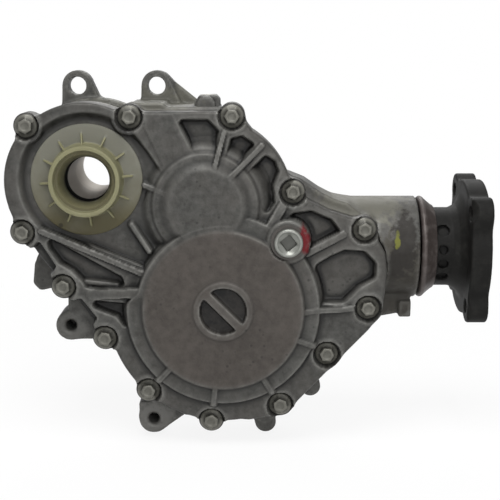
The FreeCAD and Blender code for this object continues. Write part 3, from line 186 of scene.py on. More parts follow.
# Hollows of the case: flat shape, lowest and highest y
OPEN = np.inf
CASE_CUTS = [
    ((INPUT, 50.0), -OPEN, -26.0), ((IDLER, 51.0), -OPEN, -26.0), ((RING, 40.0), -OPEN, -26.0),
    ((RING, 73.0), -OPEN, -48.5), ((INPUT, 37.5), -OPEN, -10.5), ((INPUT, SEAL_BORE_R), -OPEN, OPEN),
    ((IDLER, 14.0), -OPEN, -8.0), ((RING, 31.0), -OPEN, -8.5), ((LOWER_LUG, 5.1), -24.0, OPEN),
    ((3.0, [(139, -33), (166, -33), (166, -83), (139, -83)]), -OPEN, TAIL_Y),
    *[((bolt, 4.0), -OPEN, -41.0) for bolt in COVER_BOLTS],
    *[((lug, 7.0), -15.0, OPEN) for lug in MOUNT_LUGS],
]
# Bores of the neck: radius, lowest and highest x
TAIL_BORES = [
    (25.5, 139, 172), (26.0, 170.5, 186.5), (21.0, 185.5, 229.5), (28.0, 228.5, 254), (34.0, 244.0, 256),
]
FLANGE_BACK_X, FLANGE_FACE_X, FLANGE_TURN = 289.0, 305.0, 8
# Drillings of the flange's barrel: direction in degrees, radius
BARREL_DRILLINGS = [(33, 4.8), (4, 3.4), (-18, 4.0), (-41, 4.6)]
# How far a slope is measured over, and how far out and in a mark looks
SLOPE_STEP, MARK_REACH = 0.05, 2.6
# The most triangles that the case keeps
CASE_TRIANGLES = 190000

# ---------------------------------------------------------------- the stage, in m and W
# Lamps: name, place, aim, size, power
LAMPS = [
    ("key", (0.02, -0.60, 1.15), (0.10, -0.05, -0.06), 0.75, 14.5),
    ("fill", (0.45, -1.5, 0.45), (0.1, -0.05, -0.06), 1.0, 8.5),
    ("back", (0.2, 1.1, 0.9), (0.1, 0.0, -0.05), 0.8, 7.0),
]
CAMERA_PLACE, CAMERA_TILT, CAMERA_LENS = (0.1225, -0.96033, 0.1026), 80, 85.5
FLOOR_GAP, WORLD_LIGHT = 0.004, 0.22


# ---------------------------------------------------------------- fields of distance, in mm
def smooth_min(a, b, k):
    """The lesser of two fields, blended over a width k: min(a, b) - h^2 k / 4, where h is
    max(k - |a - b|, 0) / k."""
    h = np.maximum(k - np.abs(a - b), 0.0) / k
    return np.minimum(a, b) - h * h * k * 0.25


def smooth_max(a, b, k):
    """The greater of two fields, blended over a width k."""
    return -smooth_min(-a, -b, k)


def smooth_step(low, high, value):
    """0 below low, 1 above high, and 3t^2 - 2t^3 between them."""
    t = np.clip((value - low) / (high - low), 0.0, 1.0)
    return t * t * (3.0 - 2.0 * t)


def disc(x, z, centre, radius):
    """Distance to a circle: the distance from its centre less its radius."""
    return np.hypot(x - centre[0], z - centre[1]) - radius


def polar(hub, radius, degrees):
    """The point at a radius and a direction from a hub: the hub plus the radius times (cos, sin)."""
    return hub[0] + radius * cos(radians(degrees)), hub[1] + radius * sin(radians(degrees))


def across_ring(x, z):
    """Distance from the line through the ring gear's centre that parts its two D-shaped recesses."""
    turn = radians(-45)
    return np.abs((z - RING[1]) * cos(turn) - (x - RING[0]) * sin(turn))


def along_segment(x, z, a, b):
    """Distance to the segment a-b, and how far along it, 0 to 1, the nearest point lies."""
    dx, dz = b[0] - a[0], b[1] - a[1]
    t = np.clip(((x - a[0]) * dx + (z - a[1]) * dz) / (dx * dx + dz * dz), 0.0, 1.0)
    return np.hypot(x - a[0] - t * dx, z - a[1] - t * dz), t


def inset(points, distance):
    """The polygon with every side moved inwards by a distance, whichever way round its points run."""
    area = sum(a[0] * b[1] - b[0] * a[1] for a, b in zip(points, points[1:] + points[:1]))
    side = distance if area > 0 else -distance
    moved = []
    for i, b in enumerate(points):
        a, c = points[i - 1], points[(i + 1) % len(points)]
        d1, d2 = (b[0] - a[0], b[1] - a[1]), (c[0] - b[0], c[1] - b[1])
        l1, l2 = np.hypot(*d1), np.hypot(*d2)
        n1, n2 = (-d1[1] / l1, d1[0] / l1), (-d2[1] / l2, d2[0] / l2)
        k = side / (1 + n1[0] * n2[0] + n1[1] * n2[1])
        moved.append((b[0] + (n1[0] + n2[0]) * k, b[1] + (n1[1] + n2[1]) * k))
    return moved


def polygon(x, z, points, corner=0.0):
    """Signed distance to a polygon with rounded corners, negative inside: the least distance to any side of
    the polygon inset by the corner radius, signed by counting the sides that a ray crosses, less the
    radius."""
    if corner:
        points = inset(points, corner)
    shape = np.broadcast_shapes(np.shape(x), np.shape(z))
    best, inside = np.full(shape, 1e9), np.zeros(shape, bool)
    for a, b in zip(points, points[1:] + points[:1]):
        best = np.minimum(best, along_segment(x, z, a, b)[0])
        rise = b[1] - a[1]
        if rise:
            crosses = (a[1] > z) != (b[1] > z)
            inside ^= crosses & (x < a[0] + (z - a[1]) * (b[0] - a[0]) / rise)
    return np.where(inside, -best, best) - corner


def joint_distance(x, z):
    """Distance to the outline shared by cover, gasket and case: polygon, discs and bolt bosses, filleted."""
    d = polygon(x, z, JOINT_POLYGON, 6.0)
    for centre, radius in JOINT_DISCS:
        d = np.minimum(d, disc(x, z, centre, radius))
    for bolt in COVER_BOLTS:
        d = smooth_min(d, disc(x, z, bolt, BOSS_R), 4.0)
    return d


def body_distance(x, z, step):
    """Distance to the case's outline behind its flange."""
    d = polygon(x, z, inset(JOINT_POLYGON, step), 8.0)
    for centre, radius in JOINT_DISCS:
        d = smooth_min(d, disc(x, z, centre, radius - step), 3.0)
    return d


def slab(value, low, high):
    """Distance to a stretch of an axis: the greater of low - value and value - high."""
    return np.maximum(low - value, value - high)


def extruded(distance, along, rounding):
    """A flat outline carried along an axis, its edges rounded: the two distances combine as the length of
    their positive parts."""
    a, b = distance + rounding, along + rounding
    outside = np.sqrt(np.maximum(a, 0.0) ** 2 + np.maximum(b, 0.0) ** 2)
    return np.minimum(np.maximum(a, b), 0.0) + outside - rounding


def flat(x, z, shape):
    """Distance to a flat shape: a disc (centre, radius), a bar with round ends (start, end, radius) or a
    polygon (corner radius, points)."""
    if len(shape) == 3:
        return along_segment(x, z, shape[0], shape[1])[0] - shape[2]
    if isinstance(shape[0], tuple):
        return disc(x, z, *shape)
    return polygon(x, z, shape[1], shape[0])


def blended(d, x, z, along, forms):
    """A field with forms blended into it in turn. A form is a flat shape, its lowest and highest place along
    the axis, the rounding of its edges and the width of the blend."""
    for shape, low, high, rounding, width in forms:
        d = smooth_min(d, extruded(flat(x, z, shape), slab(along, low, high), rounding), width)
    return d


# ---------------------------------------------------------------- meshes
def build_mesh(name, vertices, faces, body, slot, replaced=(), merge=0.0, angle=35.0, marks=None):
    """A finished piece from vertices in mm. Marks are values per vertex that its finish reads. Its normals
    are recalculated before it is shaded smooth."""
    mesh = bpy.data.meshes.new(name)
    mesh.from_pydata((np.asarray(vertices) * 0.001).tolist(), [], faces.tolist())
    for key, value in (marks or {}).items():
        layer = mesh.attributes.new(key, "FLOAT", "POINT")
        layer.data.foreach_set("value", np.asarray(value, np.float32))
    work = bmesh.new()
    work.from_mesh(mesh)
    if merge:
        bmesh.ops.remove_doubles(work, verts=work.verts, dist=merge * 0.001)
    bmesh.ops.recalc_face_normals(work, faces=work.faces)
    work.to_mesh(mesh)
    work.free()
    piece = bpy.data.objects.new(name, mesh)
    bpy.context.scene.collection.objects.link(piece)
    mesh.materials.append(finish_for(slot))
    mesh.shade_smooth()
    mesh.set_sharp_from_angle(angle=radians(angle))
    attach(piece, body)
    if replaced:
        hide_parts(*replaced)
    return piece


def grid_faces(rows, columns, closed):
    """Quads of a grid numbered row by row, each row a ring. The last row is joined to the first if closed."""
    r = np.arange(rows if closed else rows - 1)[:, None]
    c = np.arange(columns)[None, :]
    r1, c1 = (r + 1) % rows, (c + 1) % columns
    quads = np.stack([r * columns + c, r * columns + c1, r1 * columns + c1, r1 * columns + c], -1)
    return quads.reshape(-1, 4)


def turned(centre, rows, axis="y", closed=False):
    """A lathe surface. Each row is (radius, height), either of which may vary with the angle round the axis;
    a point is the centre plus radius times (cos, sin) of the angle, at its height along the axis."""
    steps = max(np.size(value) for row in rows for value in row)
    angle = circle_steps(steps)
    radius, height = (
        np.stack([np.broadcast_to(np.asarray(row[k], float), steps) for row in rows]) for k in range(2))
    across, up = centre[0] + radius * np.cos(angle), centre[1] + radius * np.sin(angle)
    order = (across, -height, up) if axis == "y" else (height, across, up)
    return np.stack(order, -1).reshape(-1, 3), grid_faces(len(rows), steps, closed)


def joined(parts):
    """Several (vertices, faces) pairs as one."""
    vertices, faces, start = [], [], 0
    for v, f in parts:
        vertices.append(v)
        faces.append(np.asarray(f) + start)
        start += len(v)
    return np.concatenate(vertices), np.concatenate(faces)


def circle_steps(count):
    """Equal steps once round a circle, in radians."""
    return np.arange(count) * 2 * pi / count


def polygon_radius(angle, sides, flat_r, turn=0.0):
    """Distance from a regular polygon's centre to its side in each direction: flat_r / cos(angle to the
    middle of that side)."""
    part = 2 * pi / sides
    return flat_r / np.cos((angle - turn + part / 2) % part - part / 2)


def field_slope(field, points):
    """A field at each point, and its slope along the three axes from values a small step away."""
    here = field(*points.T)
    moved = [field(*(points + SLOPE_STEP * way).T) for way in np.eye(3)]
    return here, np.stack([(value - here) / SLOPE_STEP for value in moved], -1)


def surface_net(field, low, high, cell):
    """The zero surface of a field, found on a grid. Every cell that the surface crosses gets one vertex, at
    the mean of the crossings on its edges, and every crossed edge gives the quad of the four cells round it.
    The vertices then move along the field's slope onto the surface. Marks for the finish, which paint light
    and shade: crevice, for painted shade in hollows, and edge, for painted highlights along convex edges that
    also stand for rubbed wear, how far the field a little way out or in falls short of that distance; and
    under, for painted shade on faces turned downwards, how far the surface faces down."""
    axes = [np.arange(a, b + cell, cell) for a, b in zip(low, high)]
    grid = np.meshgrid(*axes, indexing="ij", sparse=True)
    values = np.ascontiguousarray(np.broadcast_to(field(*grid), [len(a) for a in axes]), dtype=np.float32)
    cells = np.array(values.shape) - 1
    total, count = np.zeros((3, cells.prod())), np.zeros(cells.prod())
    quads = []
    for axis in range(3):
        near, far = [slice(None)] * 3, [slice(None)] * 3
        near[axis], far[axis] = slice(0, -1), slice(1, None)
        a, b = values[tuple(near)], values[tuple(far)]
        crossed = (a < 0) != (b < 0)
        start = np.argwhere(crossed)
        leaving = a[crossed] < 0
        where = start.astype(float)
        where[:, axis] += a[crossed] / (a[crossed] - b[crossed])
        around = []
        for du, dv in ((0, 0), (1, 0), (1, 1), (0, 1)):
            cell_at = start.copy()
            cell_at[:, (axis + 1) % 3] -= du
            cell_at[:, (axis + 2) % 3] -= dv
            number = np.ravel_multi_index(cell_at.T, cells)
            around.append(number)
            count += np.bincount(number, minlength=len(count))
            for k in range(3):
                total[k] += np.bincount(number, weights=where[:, k], minlength=len(count))
        quad = np.stack(around, -1)
        quads.append(np.where(leaving[:, None], quad, quad[:, ::-1]))
    used = np.flatnonzero(count)
    number = np.full(len(count), -1)
    number[used] = np.arange(len(used))
    points = (total[:, used] / count[used]).T * cell + np.array(low)
    for _ in range(2):
        here, slope = field_slope(field, points)
        move = -slope * (here / np.maximum((slope ** 2).sum(-1), 0.25))[:, None]
        points = points + np.clip(move, -0.35 * cell, 0.35 * cell)
    slope = field_slope(field, points)[1]
    normal = slope / np.maximum(np.linalg.norm(slope, axis=1, keepdims=True), 2e-5)
    out, back = (field(*(points + way * MARK_REACH * normal).T) / MARK_REACH for way in (1, -1))
    # Painted light and shade: crevice darkens hollows as painted shade, edge lightens convex edges as painted
    # highlights (partly rubbed wear), under darkens faces turned downwards as painted shade.
    marks = {
        "crevice": np.clip(1.15 - out, 0.0, 1.0), "edge": np.clip(1.15 + back, 0.0, 1.0),
        "under": np.clip(-normal[:, 2], 0.0, 1.0),
    }
    return points, number[np.concatenate(quads)], marks


# ---------------------------------------------------------------- front cover
def falls(top, r, steps):
    """A turned height that starts at top and drops by each given amount, smoothly, between two radii."""
    height = np.full(np.shape(r), float(top))
    for drop, near, far in steps:
        height -= drop * smooth_step(near, far, r)
    return height


def cover_height(x, z):
    """Height of the cover's front at each point. Pockets are cut into the plate with a smooth step of the
    distance to their outline; domes, ribs and walls are laid over it with blended maxima; seats, recesses
    and facings are cut last."""
    h = np.full(np.broadcast_shapes(x.shape, z.shape), PLATE)
    r_input, r_ring, r_idler, r_plug = (disc(x, z, middle, 0.0) for middle in (INPUT, RING, IDLER, PLUG))
    cuts = [(POCKET + 0.5 * (k % 2), -2.8, 0.3, flat(x, z, pocket)) for k, pocket in enumerate(POCKETS)]
    cuts += [(EDGE, -1.6, 0.6, polygon(x, z, strip, 2.0)) for strip in EDGE_STRIPS]
    cuts += [(BASIN, 45.6, 51.6, r_input), (BASIN, -2.0, 0.3, polygon(x, z, BASIN_SIDE, 5.0))]
    for floor, inner, outer, away in cuts:
        h = np.minimum(h, floor + (PLATE - floor) * smooth_step(inner, outer, away))
    way = np.degrees(np.arctan2(z - RING[1], x - RING[0])) % 360
    flush = smooth_step(74, 86, way) * smooth_step(178, 166, way)
    ring_dome = falls(PAD + 0.9, r_ring, [(0.9, 21.9, 23.1)])
    ring_dome -= (3.1 - 2.4 * flush) * smooth_step(59.8, 62.6, r_ring)
    ring_dome += falls(0.0, r_ring + 7.5 * flush, RING_FALLS)
    domes = smooth_max(ring_dome, falls(DOME, r_idler, IDLER_FALLS), 1.0)
    domes = smooth_max(domes, falls(PLUG_SEAT, r_plug, PLUG_FALLS), 2.5)
    land = polygon(x, z, DIAGONAL_LAND, 3.0)
    domes = smooth_max(domes, POCKET - 4 + (PLATE + 4 - POCKET) * smooth_step(1.2, -1.2, land), 0.6)
    domes = np.minimum(domes, np.interp(r_input, [0, 45.6, 52.5, 60], [BASIN, BASIN, 95, 200]))
    h = smooth_max(h, domes, 2.4)
    for start, end, base, top, floor, high_a, high_b in RIBS:
        away, t = along_segment(x, z, start, end)
        peak = high_a + (high_b - high_a) * t
        slope = (peak - floor) / ((base - top) / 2)
        h = smooth_max(h, peak - slope * np.maximum(away - top / 2, 0.0), 1.8)
    for degrees in BAND_GUSSETS:
        away, t = along_segment(x, z, polar(RING, 59.0, degrees), polar(RING, 73.6, degrees))
        h = smooth_max(h, PAD - 0.3 - 2.3 * t - 2.4 * np.maximum(away - 1.6, 0.0), 0.8)
    for bolt in COVER_BOLTS:
        wall = np.maximum(disc(x, z, bolt, SCALLOP_R) - SCALLOP_WALL + 0.5, 0.0)
        h = smooth_max(h, PLATE - 7.0 * wall, 1.5)
    for bolt in COVER_BOLTS:
        h = smooth_min(h, SEAT + 9.0 * np.maximum(disc(x, z, bolt, SCALLOP_R) + 0.9, 0.0), 1.0)
    moon = smooth_max(r_ring - 17.8, 3.4 - across_ring(x, z), 2.4)
    h = smooth_min(h, 83.6 + 5.0 * np.maximum(moon + 1.0, 0.0), 0.8)
    return np.minimum(h, PLUG_SEAT + 6.0 * np.maximum(r_plug - 14.2, 0.0))


def ring_mean(grid, reach):
    """The mean of a grid's values at eight places round each point, reach steps away."""
    total = np.zeros_like(grid)
    for k in range(8):
        step = (round(reach * cos(k * pi / 4)), round(reach * sin(k * pi / 4)))
        total += np.roll(grid, step, axis=(0, 1)) / 8
    return total


def cover_marks(x, z, h, cell):
    """What the finish reads at each point of the cover's grid, from 0 to 1. Crevice, for painted shade, and
    edge, for painted highlights that also stand for rubbed wear: how far the mean height round a point lies
    above or below the point's own. The D-shaped recesses, darkened for dirt as well as shade, and the upper
    half of the basin's wall under its rim, a painted shadow, count as crevices. Tone: the browner middle pad.
    Paint: the dab beside the filler plug, within two radii and two directions."""
    near, far = (ring_mean(h, reach / cell) - h for reach in (1.8, 4.5))
    r_ring, r_input = disc(x, z, RING, 0.0), disc(x, z, INPUT, 0.0)
    moon = np.maximum(r_ring - 17.6, 3.6 - across_ring(x, z))
    # Painted shade where the mean height round a point lies above it, weaker in the bolts' scallops.
    crevice = np.clip(0.75 * near + 0.35 * far, 0.0, 1.0)
    for bolt in COVER_BOLTS:
        crevice = crevice * (1.0 - 0.6 * smooth_step(11.2, 10.2, disc(x, z, bolt, 0.0)))
    # A painted shadow on the upper half of the basin's wall, under its rim.
    basin_wall_shadow = smooth_step(42.5, 45.5, r_input) * smooth_step(51.4, 49.5, r_input)
    basin_wall_shadow = basin_wall_shadow * smooth_step(-0.1, 0.7, z / np.maximum(r_input, 1.0))
    crevice = np.maximum(crevice, np.maximum(smooth_step(0.5, -0.5, moon), 0.85 * basin_wall_shadow))
    r, way = disc(x, z, PLUG, 0.0), np.arctan2(z - PLUG[1], x - PLUG[0])
    wander = 0.6 * np.sin(9.0 * way) + 0.3 * np.sin(23.0 * way)
    paint = smooth_step(9.0, 9.8, r) * smooth_step(17.0 + wander, 16.2 + wander, r)
    paint = paint * smooth_step(radians(-42), radians(-30), way) * smooth_step(radians(58), radians(42), way)
    # Painted highlights on convex edges, partly rubbed wear.
    edge = np.clip(-0.9 * near - 0.15 * far, 0.0, 1.0)
    return {"crevice": crevice, "edge": edge, "tone": smooth_step(62.5, 59.0, r_ring), "paint": paint}


def cover_region(x, z):
    """Where the cover is: inside the joint's outline and outside the halfshaft seal's bore."""
    return np.maximum(joint_distance(x, z), SEAL_BORE_R - np.hypot(x, z))


def cover_slope(x, z):
    """The distance to the cover's region, and the slope of that distance along x and z."""
    here = cover_region(x, z)
    along_x, along_z = cover_region(x + SLOPE_STEP, z) - here, cover_region(x, z + SLOPE_STEP) - here
    return here, along_x / SLOPE_STEP, along_z / SLOPE_STEP


def cover_surface(cell):
    """The cover's front as a height field on a square grid whose border is drawn onto the outline, with a
    rounded rim and drafted side walls down to the joint."""
    xs, zs = np.arange(-66.0, 230.0, cell), np.arange(-204.0, 64.0, cell)
    x, z = np.meshgrid(xs, zs, indexing="ij")
    marks = cover_marks(x, z, cover_height(x, z), cell)
    kept = cover_region(x, z) < 0.45 * cell
    i, j = np.nonzero(kept[:-1, :-1] & kept[1:, :-1] & kept[1:, 1:] & kept[:-1, 1:])
    n = len(zs)
    quads = np.stack([i * n + j, (i + 1) * n + j, (i + 1) * n + j + 1, i * n + j + 1], -1)
    used, quads = np.unique(quads, return_inverse=True)
    quads = quads.reshape(-1, 4)
    x, z = x.ravel()[used], z.ravel()[used]
    sides = np.concatenate([quads[:, [k, (k + 1) % 4]] for k in range(4)])
    _, first, times = np.unique(np.sort(sides, axis=1), axis=0, return_index=True, return_counts=True)
    border = sides[first[times == 1]]
    rim = np.unique(border)
    for _ in range(4):
        here, gx, gz = cover_slope(x[rim], z[rim])
        size = np.maximum(gx * gx + gz * gz, 0.3)
        x[rim] -= here * gx / size
        z[rim] -= here * gz / size
    inner, rounding = -cover_region(x, z), 1.8
    fall = rounding - np.sqrt(np.maximum(rounding ** 2 - np.maximum(rounding - inner, 0.0) ** 2, 0.0))
    outer_rim = joint_distance(x, z) > -2 * rounding
    h = cover_height(x, z) - np.where(outer_rim, fall, fall * 0.35)
    points = np.stack([x, -h, z], -1)
    place = np.full(len(x), -1)
    place[rim] = np.arange(len(rim))
    _, gx, gz = cover_slope(x[rim], z[rim])
    size = np.sqrt(np.maximum(gx * gx + gz * gz, 0.3))
    rows, faces, previous = [points], [quads], border
    for k, (share, out) in enumerate(((0.5, -0.1), (1.0, 0.0))):
        level = h[rim] + (SPLIT - h[rim]) * share
        rows.append(np.stack([x[rim] + gx / size * out, -level, z[rim] + gz / size * out], -1))
        lower = place[border] + len(points) + k * len(rim)
        faces.append(np.stack([previous[:, 1], previous[:, 0], lower[:, 0], lower[:, 1]], -1))
        previous = lower
    for key, value in marks.items():
        value = value.ravel()[used]
        marks[key] = np.concatenate([value, value[rim] * 0.5, value[rim] * 0.0])
    return np.concatenate(rows), np.concatenate(faces), marks


def close_back(piece):
    """Fills the open loops at the back of a piece with flat faces."""
    work = bmesh.new()
    work.from_mesh(piece.data)
    loops = [edge for edge in work.edges if edge.is_boundary]
    bmesh.ops.triangle_fill(work, edges=loops, use_beauty=True, use_dissolve=False)
    bmesh.ops.recalc_face_normals(work, faces=work.faces)
    work.to_mesh(piece.data)
    work.free()


# ---------------------------------------------------------------- main case
def spoke_field(x, y, z, start, end, y_start, y_end):
    """A drafted rib on the case's rear face: distance from its middle line, less a half width that narrows
    by 1 mm from its foot to its top, cut off at both."""
    away, t = along_segment(x, z, start, end)
    top = y_start + (y_end - y_start) * t
    share = np.clip((y - SPOKE_FOOT) / (top - SPOKE_FOOT), 0.0, 1.0)
    return extruded(away - (SPOKE_FOOT_HALF - share), slab(y, SPOKE_FOOT, top), 0.8)


def case_solid(x, y, z):
    """The outside of the case as one blended field: flange, drafted body, bolt columns, pads, rear ribs,
    lugs, tabs, bosses and neck."""
    flange = extruded(joint_distance(x, z), slab(y, -GASKET_BACK, -FLANGE_BACK), 1.0)
    draft = np.clip((y + 50.0) / 47.0, 0.0, 1.0) * 1.6
    d = smooth_min(flange, extruded(body_distance(x, z, 6.0) + draft, slab(y, -61.0, -3.0), 3.0), 3.0)
    taper = np.clip(y + 50.0, 0.0, 20.0) * 0.06
    for bolt in COVER_BOLTS:
        d = smooth_min(d, extruded(disc(x, z, bolt, 7.6) + taper, slab(y, -61.0, -34.0), 2.0), 2.5)
    d = blended(d, x, z, y, CASE_PADS)
    for hub, angles, near, far, high, low in SPOKES:
        for angle in angles:
            ends = polar(hub, near, angle), polar(hub, far, angle)
            d = smooth_min(d, spoke_field(x, y, z, *ends, high, low), 2.0)
    for lx, lz in MOUNT_LUGS:
        tab = polygon(x, z, [(lx - 12, lz), (lx + 10.7, lz + 5.4), (lx + 24, lz - 24), (lx - 13, lz - 24)])
        lug = smooth_min(disc(x, z, (lx, lz), 12.0), tab, 0.5)
        d = smooth_min(d, extruded(lug, slab(y, -13.0, 0.0), 1.0), 3.0)
    d = blended(d, x, z, y, CASE_FORMS)
    for boss in BRACKET_BOSSES:
        share = 26 / np.hypot(RING[0] - boss[0], RING[1] - boss[1])
        end = tuple(b + (r - b) * share for b, r in zip(boss, RING))
        d = blended(d, x, z, y, [
            ((boss, 11.4), -60.0, -30.0, 0.8, 2.0), ((boss, end, 10.6), -59.0, -30.0, 1.5, 3.0)])
    return smooth_min(d, neck_field(x, y, z), 3.0)


def neck_field(x, y, z):
    """The tail neck: a cone and cylinder about the tail axis that stands clear of the cover's edge, with its
    saddle, lower web and foot."""
    away = np.hypot(y - TAIL_Y, z - TAIL_Z)
    tube = extruded(away - np.interp(x, [136, 150, 252], [36, 39.9, 39.9]), slab(x, 136.0, 252.4), 1.2)
    behind = np.minimum(-61.3 - y, 0.8 - joint_distance(x, z))
    return blended(smooth_max(tube, behind, 0.6), x, z, y, NECK_FORMS)


def case_hollow(x, y, z):
    """What the case is hollowed out by, negative inside the hollows."""
    away = np.hypot(y - TAIL_Y, z - TAIL_Z)
    cuts = [(flat(x, z, shape), slab(y, low, high)) for shape, low, high in CASE_CUTS]
    cuts += [(away - radius, slab(x, low, high)) for radius, low, high in TAIL_BORES]
    flare = np.maximum(-58.6 - y, 0.0)
    cuts += [(disc(x, z, boss, 4.25) - flare, y + 38.0) for boss in BRACKET_BOSSES]
    d = np.maximum(np.hypot(x - 90.3, y + 44.0) - 5.0, 45.0 - z)
    for across, along in cuts:
        d = np.minimum(d, np.maximum(across, along))
    return d


def case_field(x, y, z):
    """The case: its outside and its spigot, less its hollows."""
    spigot = extruded(disc(x, z, INPUT, 46.0), slab(y, -2.0, 5.0), 0.6)
    groove = np.maximum(-disc(x, z, INPUT, 44.2), slab(y, 1.4, 3.8))
    d = smooth_min(case_solid(x, y, z), np.maximum(spigot, -groove), 0.5)
    return smooth_max(d, -case_hollow(x, y, z), 0.5)


# ---------------------------------------------------------------- companion flange
def flange_field(x, y, z):
    """The companion flange: a lobed plate and a turned barrel blended together, less the nut's recess, the
    pilot, the bolt holes and the barrel's drillings. The barrel is the distance from the tail axis less a
    radius that changes along it."""
    away = np.hypot(y - TAIL_Y, z - TAIL_Z)
    lobes = [polar((TAIL_Y, TAIL_Z), 52.0, 45 + 90 * k + FLANGE_TURN) for k in range(4)]
    outline = away - 52.9
    for lobe in lobes:
        outline = smooth_min(outline, disc(y, z, lobe, 12.9), 7.0)
    d = extruded(outline, slab(x, FLANGE_BACK_X, FLANGE_FACE_X), 1.8)
    barrel = np.interp(x, [255.5, 258.0, 279.0, 284.0, 290.0, 301.0], [29.0, 30.9, 30.9, 33.5, 40.0, 44.0])
    d = smooth_min(d, extruded(away - barrel, slab(x, 255.5, 300.9), 1.0), 4.0)
    d = smooth_min(d, extruded(away - 21.95, slab(x, 243.7, 258.0), 0.5), 0.6)
    hollow = np.minimum(away - 12.5, np.maximum(away - 24.0, 275.5 - x))
    hollow = np.minimum(hollow, np.maximum(away - 30.0, 301.0 - x))
    for lobe in lobes:
        hole = disc(y, z, lobe, 5.25) - np.maximum(FLANGE_BACK_X + 0.8 - x, 0.0)
        hollow = np.minimum(hollow, np.maximum(hole, 287.0 - x))
    for angle, radius in BARREL_DRILLINGS:
        out, up = cos(radians(angle)), sin(radians(angle))
        along = (z - TAIL_Z) * up - (y - TAIL_Y) * out
        across = (y - TAIL_Y) * up + (z - TAIL_Z) * out
        drill = np.hypot(x - 271.5, across) - radius - 0.5 * np.maximum(along - 30.4, 0.0)
        hollow = np.minimum(hollow, np.maximum(drill, 27.4 - along))
    return smooth_max(d, -hollow, 0.5)


# ---------------------------------------------------------------- fittings
def bolt_rows(turn):
    """Rows of a flanged hex bolt: dished head, chamfered corners, hexagonal sides, cone flange, shank."""
    angle = circle_steps(72)
    side = polygon_radius(angle, 6, 4.85, turn)
    top = SEAT + 7.4
    corner = top - (side - 4.6) * 0.42
    return [
        (0.0, top - 0.6), (2.3, top - 0.6), (2.8, top - 0.4), (3.3, top - 0.04), (3.8, top), (4.4, top),
        (side - 0.12, corner - 0.1), (side, corner - 0.35), (side, SEAT + 3.3), (side + 0.35, SEAT + 2.95),
        (7.7, SEAT + 2.1), (8.5, SEAT + 1.6), (8.8, SEAT + 1.0), (8.8, SEAT + 0.15), (8.6, SEAT),
        (3.98, SEAT), (3.98, 44.0), (0.0, 44.0),
    ]


def protector_rows():
    """Rows of the seal protector: a tube, a long tapered collar and a flat rim, as in the solid. The twelve
    gussets are a bump on the height that depends on radius and angle."""
    back = BASIN + 0.1
    rim, tip = back + 1.5, back + 16.5
    angle = circle_steps(600)
    part = 2 * pi / 12
    off = np.abs((angle - radians(5.0) + part / 2) % part - part / 2)

    def front(r, base):
        wide = smooth_step(1.15, 0.45, off * r)
        peak = rim + np.interp(r, [26.9, 35.0, 35.6], [5.0, 0.7, 0.0])
        return (r, base + wide * np.maximum(peak - base, 0.0))

    gusset_foot = [(27.4, rim + 2.2), (27.6, rim + 0.9), (27.9, rim + 0.35), (28.4, rim + 0.02)]
    gusset_foot += [(r, rim) for r in (29.0, 30.0, 31.0, 32.0, 33.0, 34.0, 34.8, 35.3, 35.8)]
    rows = [
        (17.2, back - 6.4), (17.2, back + 1.0), (20.2, tip - 5.5), (20.4, tip - 5.1), (20.8, tip - 5.0),
        (22.2, tip - 5.0), (22.45, tip - 4.8), (23.2, tip - 0.3), (23.5, tip), (24.7, tip), (25.9, tip),
        (26.25, tip - 0.2), (26.4, tip - 0.6), (26.9, rim + 8.0), (27.1, rim + 5.4),
    ]
    rows += [front(r, h) for r, h in gusset_foot]
    rows += [
        (38.5, rim), (41.2, rim), (41.7, rim - 0.2), (41.95, rim - 0.6), (42.0, back + 0.1), (41.8, back),
        (19.2, back), (19.0, back - 0.2), (19.0, back - 6.2), (18.8, back - 6.4), (17.4, back - 6.4),
    ]
    return rows


def protector_marks(vertices):
    """Marks of the protector: thin, where the rim's single wall shows what is behind it; crevice, painted
    shade in the groove inside the collar; edge, painted highlights at the tip of the collar, in its mouth and
    along the tops of the gussets; paint, a painted black shadow in its tube."""
    r, h = np.hypot(vertices[:, 0], vertices[:, 2]), -vertices[:, 1]
    rim, tip = BASIN + 1.6, BASIN + 16.6
    thin = smooth_step(27.3, 29.0, r) * smooth_step(rim + 1.0, rim + 0.15, h)
    # Painted shade in the groove inside the collar.
    groove = smooth_step(rim + 12.0, rim + 10.0, h) * smooth_step(19.8, 20.3, r) * smooth_step(22.6, 22.2, r)
    # Painted highlights at the tip, along the gussets and in the mouth.
    edge = smooth_step(tip - 0.9, tip - 0.1, h)
    edge = np.maximum(edge, smooth_step(27.0, 27.6, r) * smooth_step(rim + 0.5, rim + 1.2, h))
    cone = smooth_step(20.4, 20.1, r) * smooth_step(rim - 0.6, rim + 0.4, h)
    # A painted black shadow in the tube.
    tube_shadow = smooth_step(18.4, 17.6, r) * smooth_step(rim, rim - 1.0, h)
    return {"thin": thin, "crevice": groove, "edge": np.maximum(edge, 0.55 * cone), "paint": tube_shadow}


def plug_rows():
    """Rows of the filler plug: socket, dished face, rounded rim and shank. The socket's radius is a square's
    with its corners cut short."""
    angle = circle_steps(144)
    square = np.minimum(polygon_radius(angle, 4, 4.8, radians(38)), 6.2)
    seat = PLUG_SEAT + 1.4
    return [
        (0.0, seat + 0.2), (square - 0.5, seat + 0.2), (square, seat + 0.7), (square, seat + 3.4),
        (square + 0.3, seat + 3.7), (7.2, seat + 4.4), (8.2, seat + 5.3), (8.6, seat + 5.7),
        (9.2, seat + 5.78), (10.0, seat + 5.6), (10.6, seat + 5.0), (10.8, seat + 4.3), (10.8, seat + 0.3),
        (10.6, seat), (8.58, seat), (8.58, 73.5), (0.0, 73.5),
    ]


